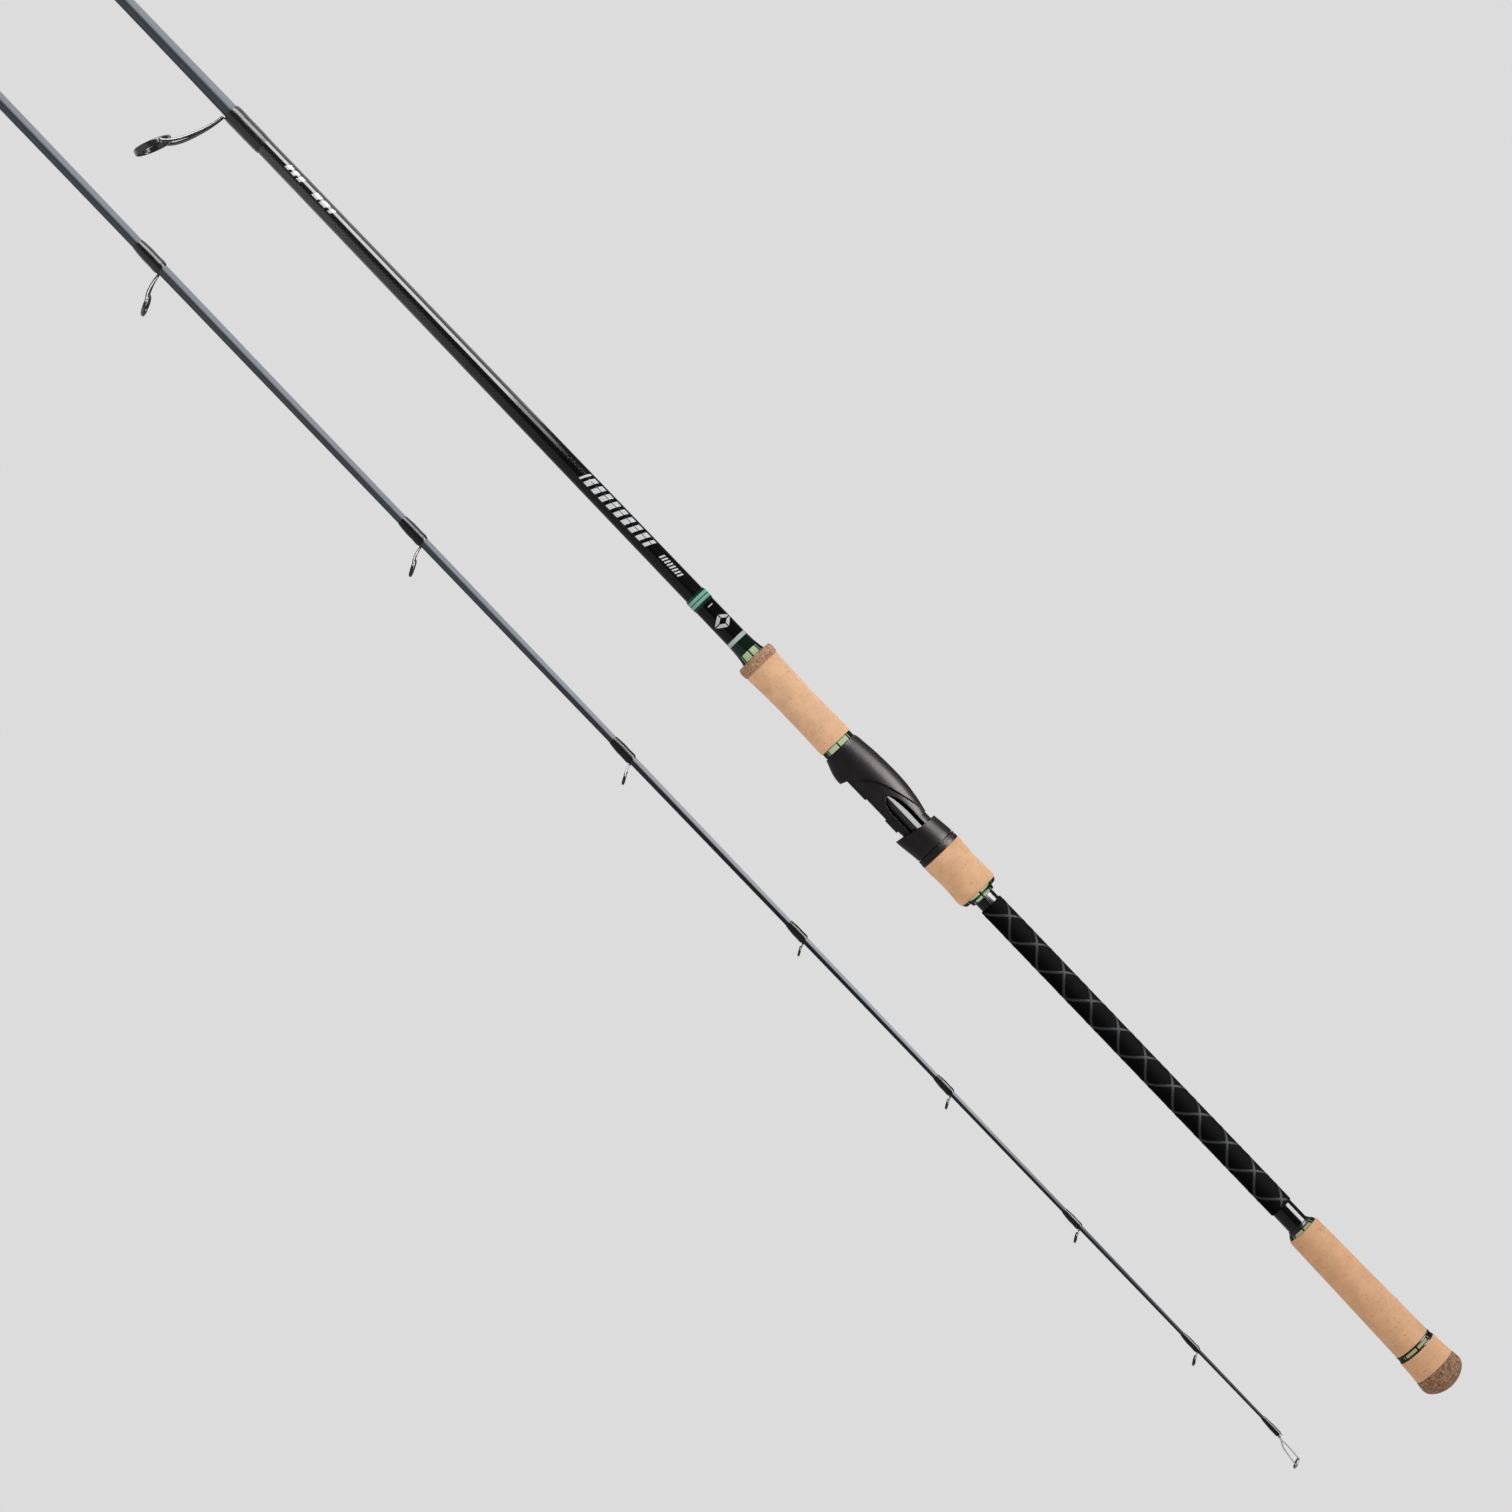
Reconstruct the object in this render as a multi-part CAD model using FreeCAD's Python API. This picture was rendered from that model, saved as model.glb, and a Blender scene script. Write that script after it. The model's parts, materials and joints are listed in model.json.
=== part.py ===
import FreeCAD, Part
import math
import os

# Two-piece spinning rod, broken down: butt section and tip section side by side.
# Origin: centre of the butt cap's flat end face, on the butt section's axis.
# -X runs up the butt section towards its ferrule; guides hang towards -Z.
# The tip section lies parallel, below it, with its tip-top towards +X.
# On the butt section "front" is -X and "rear" is +X. Units: millimetres.

V = FreeCAD.Vector

GLUE = 0.02                 # glue line between a sleeve and what it sits on

# ---------------------------------------------------------------- driving dimensions
# Butt section tables: (x, radius), x rising
BUTT_END_X = -5.5
SPIGOT_R = 3.80             # ground male ferrule
SPIGOT_X0, SPIGOT_X1 = -1258.0, -1330.0
BUTT_BLANK = [(-1257.0, 4.02), (-1100.0, 4.38), (-1052.0, 4.64), (-660.0, 5.72),
              (BUTT_END_X, 6.32)]
BUTT_BORE = [(SPIGOT_X1, 2.70), (-1257.0, 2.95), (-1052.0, 3.60), (-660.0, 4.55),
             (BUTT_END_X, 5.10)]
OVERWRAP = [(-1050.0, 5.36), (-1030.0, 5.44), (-660.0, 6.36), (-140.0, 6.90),
            (BUTT_END_X, 6.96)]

# Butt end
CAP_X, CAP_FACE_R = -15.2, 3.6
CORK_RING_X = -30.0
TRIM_X = -34.2
WASHER_T = 0.9
BUTT_GRIP_X = -129.0
BUTT_CHECK_X = -131.0
BUTT_COLLAR_X = -133.2
SLEEVE_X0, SLEEVE_X1, SLEEVE_R = -147.6, -399.6, 7.80
REAR_CHECK_X0, REAR_CHECK_X1 = -405.6, -407.8

# Reel seat
SEAT_X0, SEAT_X1 = -529.8, -467.0      # front and rear of the moulded shell
SEAT_BORE_R = 8.0
BED_Z = -11.3                          # lands the reel foot sits on
BED_RELIEF_Z = -10.3
HOOD_POCKET_X = -521.2                 # front end of the pocket under the fixed hood
ARBOR_FRONT = (-527.0, -503.0)
ARBOR_REAR = (-456.0, -412.0)
BARREL_R, BARREL_X0, BARREL_X1 = 9.90, -470.0, -409.6
THREAD_PITCH = 2.0
THREAD_ROOT_R = 9.20
THREAD_X0, THREAD_X1 = -458.0, -411.6
RIDGE_SINK = 0.12                      # how far a thread ridge is sunk into its wall

# Sliding hood
HOOD_BORE_R = 10.30
HOOD_MOUTH_X = -470.0                  # just ahead of the hood's mouth
HOOD_MOUTH_HALF, HOOD_MOUTH_Z, HOOD_MOUTH_DEPTH = 7.0, -10.6, 17.5
KEY_HALF = 1.4

# Lock nut
NUT_CREST_R, NUT_ROOT_R = 9.45, 10.15
NUT_X0, NUT_X1 = -447.4, -408.2
NUT_COLLAR_X = -442.8
NUT_TUBE_R = 11.3
NUT_END_X = -410.4

# Fore grip and trims
SEAT_CHECK_X = -533.8
FORE_GRIP_X = -598.2
FORE_RING_X = -605.0
WIND_CHECK_X = -610.2
GREEN_WRAP_X = -618.2
SILVER_X = -621.0
LABEL_X = -648.0
TEAL_X = -656.4

# Tip section
TIP_Z = -95.4
TIP_BLANK = [(-1358.0, 4.62), (-1300.0, 4.28), (-1128.0, 3.75), (-840.0, 3.15),
             (-660.0, 2.75), (-480.0, 2.20), (-270.0, 1.62), (-180.0, 1.32), (-49.2, 0.95)]
TIP_BASE_X, TIP_END_X = TIP_BLANK[0][0], TIP_BLANK[-1][0]
FERRULE_BORE_R, FERRULE_DEPTH = 3.82, 75.0
TIP_TUBE_X0, TIP_TUBE_X1, TIP_TUBE_R = -58.5, -48.4, 1.42

# Guides
SMALL_OD = 6.6              # ring diameter of the smallest guides
FOOT_SHARE = 0.62           # share of the wrap's length that covers the foot
WRAP_EDGE = 0.22            # height of a wrap at both ends
# Wrap heights between the ends: (share of length from the ring's end, share of full height)
WRAP_STATIONS = [(0.06, 0.86), (0.22, 1.0), (0.60, 0.95), (0.86, 0.60)]
# Leg points between root and hoop: shares of the gap along x, y and z
LEG_SHARES = [(0.10, 0.20, 0.26), (0.33, 0.50, 0.57), (0.61, 0.77, 0.82)]
SMALL_LEG_SHARES = [(0.22, 0.30, 0.40), (0.56, 0.72, 0.76)]

# Tip guides: name, wrap centre x, wrap length, ring centre ahead (+X) of wrap centre,
# ring centre below the axis, ring outer diameter, lean in degrees, wire radius
TIP_GUIDES = [
    ("guide_2", -1288.0, 25.0, 24.0, 31.0, 17.6, 24.0, 0.85),
    ("guide_3", -1029.0, 21.0, 19.5, 22.0, 13.6, 26.0, 0.75),
    ("guide_4", -801.0, 18.5, 16.0, 15.5, 11.0, 28.0, 0.65),
    ("guide_5", -619.0, 17.0, 12.8, 10.8, 8.8, 30.0, 0.55),
    ("guide_6", -468.0, 14.0, 9.5, 6.87, SMALL_OD, 31.0, 0.46),
    ("guide_7", -340.5, 14.0, 9.5, 6.52, SMALL_OD, 31.0, 0.46),
    ("guide_8", -229.2, 14.0, 9.5, 6.18, SMALL_OD, 31.0, 0.46),
    ("guide_9", -126.8, 14.0, 9.5, 5.88, SMALL_OD, 31.0, 0.46),
]


# ---------------------------------------------------------------- helpers
def interp(table, x):
    """Radius at x in a table of (x, radius), held constant past both ends."""
    if x <= table[0][0]:
        return table[0][1]
    for (xa, ra), (xb, rb) in zip(table, table[1:]):
        if x <= xb:
            return ra + (rb - ra) * (x - xa) / (xb - xa)
    return table[-1][1]


def lines(points):
    """Straight edges joining consecutive points, skipping repeated ones."""
    return [Part.makeLine(a, b) for a, b in zip(points, points[1:]) if (b - a).Length > 1e-6]


def smooth_edge(points):
    curve = Part.BSplineCurve()
    curve.interpolate(points)
    return curve.toShape()


def closed_wire(points):
    """Closed XZ wire from (x, r) or (x, r, corner radius) points."""
    corners = []
    for i, point in enumerate(points):
        after = points[(i + 1) % len(points)]
        a = V(points[i - 1][0], 0, points[i - 1][1])
        b = V(point[0], 0, point[1])
        c = V(after[0], 0, after[1])
        radius = point[2] if len(point) > 2 else 0.0
        if radius > 0:
            back = (a - b).normalize()
            ahead = (c - b).normalize()
            angle = back.getAngle(ahead)
            setback = radius / math.tan(angle / 2)
            bisector = (back + ahead).normalize()
            middle = b + bisector * (radius / math.sin(angle / 2) - radius)
            corners.append((b + back * setback, middle, b + ahead * setback))
        else:
            corners.append((b, None, b))
    edges = []
    for i, (start, middle, end) in enumerate(corners):
        if middle is not None:
            edges.append(Part.Arc(start, middle, end).toShape())
        edges += lines([end, corners[(i + 1) % len(corners)][0]])
    return Part.Wire(edges)


def outward(solid):
    """Turns an inside-out solid the right way round."""
    if solid.Volume < 0:
        solid.reverse()
    return solid


def spun(wire, z0):
    """Revolves a closed wire about X and moves it to height z0."""
    solid = outward(Part.Face(wire).revolve(V(0, 0, 0), V(1, 0, 0), 360))
    if z0:
        solid.translate(V(0, 0, z0))
    return solid


def turned(points, z0=0.0):
    """Solid of revolution about X from a closed outline."""
    return spun(closed_wire(points), z0)


def turned_solid(profile, z0=0.0):
    """Solid of revolution from an outer profile, closed down to the axis at both ends."""
    return turned([(profile[0][0], 0.0)] + profile + [(profile[-1][0], 0.0)], z0)


def turned_curve(profile, inner_r=0.0, z0=0.0):
    """Solid of revolution with a smooth outside through (x, r) points and a straight inside."""
    points = [V(x, 0, r) for x, r in profile]
    first, last = points[0], points[-1]
    sides = lines([last, V(last.x, 0, inner_r), V(first.x, 0, inner_r), first])
    return spun(Part.Wire([smooth_edge(points)] + sides), z0)


def core(table, x0, x1, z0=0.0):
    """Rod following a radius table from x0 to x1, grown by the glue line."""
    stations = [x0] + [x for x, _ in table if x0 < x < x1] + [x1]
    return turned_solid([(x, interp(table, x) + GLUE) for x in stations], z0)


def cyl(x0, x1, r, z0=0.0):
    return Part.makeCylinder(r, x1 - x0, V(x0, 0, z0), V(1, 0, 0))


def box(x0, x1, half_width, z0, z1):
    """Box centred on y = 0."""
    return Part.makeBox(x1 - x0, 2 * half_width, z1 - z0, V(x0, -half_width, z0))


def prism(points, y0=-20.0, y1=20.0, smooth=0):
    """Closed XZ outline extruded along Y; the first `smooth` points lie on one curve."""
    outline = [V(x, y0, z) for x, z in points]
    edges = []
    if smooth:
        edges.append(smooth_edge(outline[:smooth]))
    edges += lines(outline[max(smooth - 1, 0):] + [outline[0]])
    return Part.Face(Part.Wire(edges)).extrude(V(0, y1 - y0, 0))


def half_oval(x0, length, half_width, z, depth):
    """Bar along +X with a flat top at z and a half-elliptic underside."""
    points = []
    for i in range(25):
        a = math.pi * i / 24
        points.append(V(x0, half_width * math.cos(a), z - depth * math.sin(a)))
    return Part.Face(Part.makePolygon(points + [points[0]])).extrude(V(length, 0, 0))


def one(shape):
    """The largest solid of a boolean result, cleaned."""
    if shape.ShapeType != "Solid":
        shape = shape.removeSplitter()
    return max(shape.Solids, key=lambda solid: solid.Volume)


def egg(x, top, side, bottom, count=28):
    """Closed smooth section at x: half ellipses above and below the side points."""
    points = []
    for i in range(count):
        a = 2 * math.pi * i / count
        c = math.cos(a)
        points.append(V(x, side * math.sin(a), (top if c >= 0 else bottom) * c))
    curve = Part.BSplineCurve()
    curve.interpolate(points, PeriodicFlag=True)
    return Part.Wire([curve.toShape()])


def loft(rows):
    """Solid through egg sections given as (x, top, side, bottom)."""
    solid = Part.makeLoft([egg(*row) for row in rows], True, False)
    return solid if solid.Volume > 0 else solid.reversed()


def swept(path, section):
    """Solid swept along a wire; a bare shell is closed into a solid."""
    solid = path.makePipeShell([section], True, True)
    if solid.ShapeType != "Solid":
        solid = Part.Solid(solid.Shells[0])
    return outward(solid)


def thread_ridge(x0, x1, r_base, r_crest, w_base, w_crest, phase=0.0):
    """Right-handed helical ridge about X from x0 to x1, shifted along X by phase."""
    helix = Part.makeHelix(THREAD_PITCH, x1 - x0, r_base)
    section = [V(r_base, 0, -w_base / 2), V(r_crest, 0, -w_crest / 2),
               V(r_crest, 0, w_crest / 2), V(r_base, 0, w_base / 2)]
    ridge = swept(Part.Wire(helix.Edges), Part.makePolygon(section + [section[0]]))
    ridge.rotate(V(0, 0, 0), V(0, 1, 0), 90)
    ridge.translate(V(x0 + phase, 0, 0))
    return ridge


def wire_rod(points, r):
    """Round wire swept along a smooth curve through the points."""
    curve = Part.BSplineCurve()
    curve.interpolate(points)
    tangent = curve.tangent(curve.FirstParameter)[0]
    section = Part.Wire([Part.makeCircle(r, points[0], tangent)])
    return swept(Part.Wire([curve.toShape()]), section)


def sleeve(profile, smooth=False):
    """Turned sleeve bored to sit on the coated butt blank."""
    body = turned_curve(profile) if smooth else turned_solid(profile)
    x0, x1 = sorted((profile[0][0], profile[-1][0]))
    return one(body.cut(core(OVERWRAP, x0 - 1.0, min(x1 + 1.0, BUTT_END_X))))


def export(name, shape):
    shape.exportStep("parts/" + name + ".step")


# ---------------------------------------------------------------- guide building
def rounded_ring(r_in, r_out, width, fillet):
    """Ring about X at the origin with a rounded section."""
    f = min(fillet, (r_out - r_in) / 2 - 0.02, width / 2 - 0.02)
    half = width / 2
    return turned([(-half, r_in, f), (-half, r_out, f), (half, r_out, f), (half, r_in, f)])


def leant(shape, angle, centre):
    """Leans a shape made about X at the origin and moves it to its centre."""
    shape.rotate(V(0, 0, 0), V(0, 1, 0), angle)
    shape.translate(centre)
    return shape


def hoop_bore(r, length, angle, centre):
    return leant(cyl(-length / 2, length / 2, r), angle, centre)


def rim_point(centre, lean, r, degrees):
    """Point in the leant ring's plane, at an angle from its top."""
    tilt, turn = math.radians(lean), math.radians(degrees)
    up = V(math.sin(tilt), 0, math.cos(tilt))
    return centre + up * (r * math.cos(turn)) + V(0, r * math.sin(turn), 0)


def leg_path(start, end, shares):
    """Points from start to end by way of shares of the gap along each axis."""
    gap = end - start
    between = [start + V(gap.x * fx, gap.y * fy, gap.z * fz) for fx, fy, fz in shares]
    return [start] + between + [end]


def foot_thickness(wire_r):
    return 0.35 * wire_r + 0.25


def make_guide(side, wrap_x0, wrap_x1, blank, z0, ring_x, drop, od, lean, wire_r,
               wrap_height, wrap_drop):
    """Single-foot guide; side is the way the ring stands from its wrap along X (-1 or +1).
    Returns frame, ceramic ring and thread wrap."""
    length = wrap_x1 - wrap_x0
    ring_end = wrap_x0 if side < 0 else wrap_x1
    # ceramic ring and the metal hoop that holds it
    hoop_w = 0.085 * od + 0.42
    hoop_t = 0.028 * od + 0.22
    ring_t = 0.055 * od + 0.42
    hoop_r = od / 2
    hoop_in = hoop_r - hoop_t
    ring_r = hoop_in - GLUE
    centre = V(ring_x, 0, z0 - drop)
    angle = -side * lean
    hoop = leant(rounded_ring(hoop_in, hoop_r, hoop_w, 0.35 * hoop_t), angle, centre)
    ring = rounded_ring(ring_r - ring_t, ring_r, hoop_w * 1.5, 0.48 * ring_t)
    leant(ring, angle, centre)
    # foot: a slim blade lying along the blank, under the thread
    foot_t = foot_thickness(wire_r)
    foot_w = 1.6 * wire_r + 0.4
    foot_end = ring_end + side * (0.9 * wire_r + 0.5)
    foot_in = ring_end - side * FOOT_SHARE * length
    foot_x0, foot_x1 = sorted((foot_end, foot_in))
    seat_r = max(interp(blank, foot_end), interp(blank, foot_in)) + GLUE
    seat_z = z0 - seat_r
    foot_z = seat_z - foot_t
    foot = box(foot_x0, foot_x1, foot_w / 2, foot_z, seat_z)
    # two legs from the foot's end to the sides of the hoop, trimmed to its bore
    bore = hoop_bore(hoop_in, hoop_w * 4, angle, centre)
    legs = []
    for y_side in (-1, 1):
        y_root = y_side * foot_w * 0.20
        spread = 66 if od == SMALL_OD else 62
        joint = rim_point(centre, angle, hoop_r - hoop_t * 0.5, y_side * spread)
        if od == SMALL_OD:
            leg_z = seat_z - wire_r - 0.03
            root = V(ring_end + side * (0.18 + 0.05 * y_side), y_root, leg_z)
            bend = V(foot_end + side * wire_r * 0.5, y_side * foot_w * 0.26,
                     leg_z - wire_r * 0.35)
            path = [root] + leg_path(bend, joint, SMALL_LEG_SHARES)
        else:
            root = V(ring_end + side * (wire_r + 0.30 + 0.03 * y_side), y_root,
                     seat_z - 0.30 * wire_r - 0.06)
            path = leg_path(root, joint, LEG_SHARES)
        legs.append(one(wire_rod(path, wire_r).cut(bore)))
    frame = one(foot.multiFuse([hoop] + legs))
    # thread wrap, set slightly low so that it is deeper on the foot's side
    stations = WRAP_STATIONS
    if side > 0:
        stations = [(1 - share, height) for share, height in reversed(stations)]
    r0, r1 = interp(blank, wrap_x0), interp(blank, wrap_x1)
    profile = [(wrap_x0, r0 + WRAP_EDGE)]
    for share, height in stations:
        base_r = r0 if share < 0.7 else r1
        profile.append((wrap_x0 + share * length, base_r + wrap_height * height))
    profile.append((wrap_x1, r1 + WRAP_EDGE))
    wrap = turned_curve(profile)
    wrap.translate(V(0, 0, z0 - wrap_drop))
    wrap = one(wrap.cut(core(blank, wrap_x0 - 2, wrap_x1 + 2, z0)))
    # slot for the foot, open at the ring's end
    gap = 0.05
    open_x0, open_x1 = (2.0, gap) if side < 0 else (gap, 2.0)
    slot = box(foot_x0 - open_x0, foot_x1 + open_x1, foot_w / 2 + gap,
               foot_z - gap, z0 - 0.55 * interp_seat(seat_r))
    return frame, ring, one(wrap.cut(slot))


def interp_seat(seat_r):
    """Radius the slot's top is measured from: that of the foot's seat."""
    return seat_r


os.makedirs("parts", exist_ok=True)


# ================================================================ butt section
# Blank: tapered carbon tube with a ground male ferrule at its -X end
export("butt_blank", turned(
    [BUTT_BORE[0], (SPIGOT_X1, SPIGOT_R, 0.35), (SPIGOT_X0, SPIGOT_R)]
    + BUTT_BLANK + BUTT_BORE[:0:-1]))


def gloss_overwrap():
    """Coated outer layer over the lower blank, thinning out under the stripper wrap."""
    thin_x = OVERWRAP[0][0] - 2.0
    inside = [(x, interp(BUTT_BLANK, x) + GLUE) for x in (BUTT_END_X, -660.0, thin_x)]
    return turned([(thin_x, interp(BUTT_BLANK, thin_x) + 0.08)] + OVERWRAP + inside)


export("gloss_overwrap", gloss_overwrap())

# Butt cap with a socket for the blank, and the cork ring ahead of it
cap = turned_curve([(0.0, CAP_FACE_R), (-0.35, 5.2), (-1.3, 7.9), (-3.9, 12.1), (-6.4, 14.2),
                    (-9.2, 14.9), (-11.6, 14.75), (CAP_X + GLUE, 14.3)])
socket = cyl(-20, BUTT_END_X + 0.2, interp(OVERWRAP, BUTT_END_X) + GLUE)
export("butt_cap", one(cap.cut(socket)))
export("butt_cork_ring", sleeve(
    [(CAP_X - GLUE, 14.27), (-18.0, 14.0), (-24.0, 13.55), (CORK_RING_X + GLUE, 13.25)],
    smooth=True))

# Two thin washers with a band between them
washers = [sleeve([(x, r, 0.15), (x + WASHER_T, r, 0.15)])
           for x, r in ((CORK_RING_X - WASHER_T, 13.05), (TRIM_X, 12.75))]
export("butt_trim_washers", Part.makeCompound(washers))
export("butt_trim_band", sleeve([(TRIM_X + WASHER_T + GLUE, 12.62, 0.3),
                                 (CORK_RING_X - WASHER_T - GLUE, 12.72, 0.3)]))

# Butt grip, its flared check and the collar ahead of it
export("butt_grip", sleeve(
    [(BUTT_GRIP_X, 10.75, 1.1), (-126.0, 11.0), (-100.0, 11.35), (-74.0, 11.8),
     (-50.0, 12.25), (TRIM_X - GLUE, 12.5, 0.5)]))
export("butt_grip_check", sleeve([(BUTT_CHECK_X, 9.0, 0.3), (BUTT_GRIP_X - GLUE, 10.1, 0.35)]))
export("butt_check_collar", sleeve(
    [(BUTT_CHECK_X - GLUE, 8.95), (-131.9, 8.05), (BUTT_COLLAR_X, 7.45)], smooth=True))

# Long rear grip sleeve and the check behind the lock nut
export("rear_grip_sleeve", sleeve([(SLEEVE_X1, SLEEVE_R, 0.45), (SLEEVE_X0, SLEEVE_R, 0.45)]))
export("rear_check", sleeve([(REAR_CHECK_X1, 8.7, 0.35), (REAR_CHECK_X0, 8.2, 0.35)]))


# ================================================================ reel seat
# Shell sections: (x, top, side, bottom)
SHELL_ROWS = [
    (SEAT_X0, 11.2, 10.9, 11.7), (-526.0, 12.2, 11.4, 13.1), (-521.0, 12.7, 11.7, 14.8),
    (-516.5, 13.2, 11.9, 15.5), (-511.0, 13.6, 12.1, 15.2), (-503.0, 13.95, 12.2, 14.3),
    (-495.0, 14.05, 12.1, 13.7), (-487.0, 13.75, 11.8, 13.3), (-480.0, 12.95, 11.3, 12.9),
    (-474.5, 12.1, 10.85, 12.5), (-470.0, 11.1, 10.45, 12.1), (SEAT_X1, 10.45, 10.2, 11.9)]
# Edge of the palm swell (x, z), from below the bed up to the top ridge
SWELL_EDGE = [(-512.6, -16.5), (-511.0, -11.0), (-508.6, -6.2), (-504.0, -1.2),
              (-496.8, 3.0), (-487.2, 6.1), (-476.0, 8.9), (-463.0, 10.9)]
# Side window (x, z): smooth upper edge, then straight lower corners
WINDOW_TOP = [(-489.6, -1.0), (-488.0, 1.2), (-484.6, 3.2), (-478.0, 4.7), (-470.0, 4.95),
              (-460.8, 4.95)]
WINDOW_LOW = [(-460.8, -5.6), (-481.0, -5.6), (-486.0, -4.4)]


def reel_seat():
    """Moulding with fixed hood, palm swell, reel-foot bed, side windows and threaded barrel."""
    # below the swell's edge the sides step in to a slimmer shell
    inset = loft([(x, top - 0.05, side - 1.45 + max(0.0, (x + 474.0)) * 0.10, bottom - 0.05)
                  for x, top, side, bottom in SHELL_ROWS])
    below = prism(SWELL_EDGE + [(-463.0, -18.0), (-512.6, -18.0)], smooth=len(SWELL_EDGE))
    seat = loft(SHELL_ROWS).cut(below.cut(inset))
    # bed: two lands with a relief between them, and a step up at the rear end
    rear_x = -465.0
    seat = seat.cut(prism([(-514.9, -18), (-512.3, BED_Z), (rear_x, BED_Z), (rear_x, -18)]))
    seat = seat.cut(prism([(-498.5, -18), (-496.5, BED_RELIEF_Z), (-479.5, BED_RELIEF_Z),
                           (-477.5, -18)]))
    step_z = BED_Z + 1.3
    seat = seat.cut(prism([(-471.0, -18), (-469.3, step_z), (rear_x, step_z), (rear_x, -18)]))
    # open pocket under the fixed hood
    seat = seat.cut(half_oval(HOOD_POCKET_X, 10.0, 6.9, BED_Z + 0.3, 2.5))
    # threaded barrel
    barrel = turned_solid([
        (BARREL_X0, BARREL_R), (THREAD_X0 - 0.9, BARREL_R), (THREAD_X0, THREAD_ROOT_R),
        (THREAD_X1, THREAD_ROOT_R), (BARREL_X1, THREAD_ROOT_R - 0.1, 0.3)])
    ridge = thread_ridge(THREAD_X0, THREAD_X1, THREAD_ROOT_R - RIDGE_SINK, BARREL_R,
                         w_base=1.18, w_crest=0.55)
    seat = seat.fuse(barrel.fuse(ridge))
    # bore, side windows that show the blank, key slot for the sliding hood
    seat = seat.cut(cyl(-540, -400, SEAT_BORE_R))
    for y0, y1 in ((3.0, 20.0), (-20.0, -3.0)):
        seat = seat.cut(prism(WINDOW_TOP + WINDOW_LOW, y0, y1, smooth=len(WINDOW_TOP)))
    return one(seat.cut(box(-466.9, -441.0, KEY_HALF + 0.2, 9.0, 12.0)))


def hood_cushion():
    """Curved pad lining the fixed hood's pocket, shrunk slightly for clearance."""
    pad = half_oval(HOOD_POCKET_X + 0.4, 6.2, 6.9, BED_Z + 0.3, 2.5)
    pad = pad.cut(half_oval(-530.0, 30.0, 6.1, BED_Z + 0.6, 2.15))
    pad = pad.cut(box(-540, -500, 9, BED_Z + 0.1, 0))
    pad.scale(0.99, V(-518.0, 0, BED_Z))
    return one(pad)


export("reel_seat_body", reel_seat())
export("seat_front_check", sleeve([(SEAT_CHECK_X, 10.9, 0.4), (SEAT_X0 - GLUE, 10.9, 0.4)]))

# Arbors between blank and seat
for name, ends in (("seat_arbor_front", ARBOR_FRONT), ("seat_arbor_rear", ARBOR_REAR)):
    export(name, sleeve([(x, SEAT_BORE_R - GLUE, 0.3) for x in ends]))
export("fixed_hood_cushion", hood_cushion())

# ================================================================ fore grip and trims
export("fore_grip", sleeve(
    [(FORE_GRIP_X + GLUE, 12.1), (-592.0, 11.85), (-580.0, 11.4), (-566.0, 11.2),
     (-552.0, 11.25), (-541.0, 11.45), (SEAT_CHECK_X - GLUE, 11.55)], smooth=True))
export("fore_grip_ring", sleeve(
    [(FORE_RING_X, 12.6, 1.1), (-601.5, 12.85, 2.0), (FORE_GRIP_X, 12.55, 0.5)]))
export("front_winding_check", sleeve(
    [(WIND_CHECK_X, 7.45, 0.2), (-607.4, 7.75), (FORE_RING_X - GLUE, 8.4, 0.3)]))
export("front_green_wrap", sleeve(
    [(GREEN_WRAP_X, 6.82), (-615.5, 6.95), (-612.5, 7.15), (WIND_CHECK_X - GLUE, 7.42)],
    smooth=True))
export("silver_trim_band", sleeve([(SILVER_X, 6.78, 0.08), (GREEN_WRAP_X - GLUE, 6.84, 0.08)]))
export("label_wrap", sleeve([(LABEL_X, 6.68, 0.1), (SILVER_X - GLUE, 6.74, 0.1)]))
export("teal_trim_wrap", sleeve(
    [(TEAL_X, 6.62), (TEAL_X + 0.8, 6.98), (TEAL_X + 2.2, 7.10), (-650.2, 7.12),
     (-648.8, 7.02), (LABEL_X - GLUE, 6.80)], smooth=True))

# ================================================================ stripper guide
# Surface it is bound to: (x, radius), stepping from the bare blank up to the coated layer
STRIP_BASE = [(-1100.0, 4.38), (-1052.0, 5.40), (-1030.0, 5.46), (-1000.0, 5.53)]
frame, ring, wrap = make_guide(
    side=-1, wrap_x0=-1057.8, wrap_x1=-1029.6, blank=STRIP_BASE, z0=0.0, ring_x=-1075.8,
    drop=48.0, od=26.0, lean=20.0, wire_r=1.0, wrap_height=0.64, wrap_drop=0.25)
export("stripper_frame", frame)
export("stripper_ring", ring)
export("stripper_wrap", wrap)

# ================================================================ sliding hood
# Hood sections: (x, top, side, bottom)
HOOD_ROWS = [(-466.4, 12.0, 12.3, 15.4), (-463.0, 12.15, 12.6, 15.2),
             (-458.0, 12.7, 12.9, 14.6), (-453.0, 13.3, 13.3, 13.9),
             (-447.9, 13.7, 13.6, 13.4)]


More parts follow.
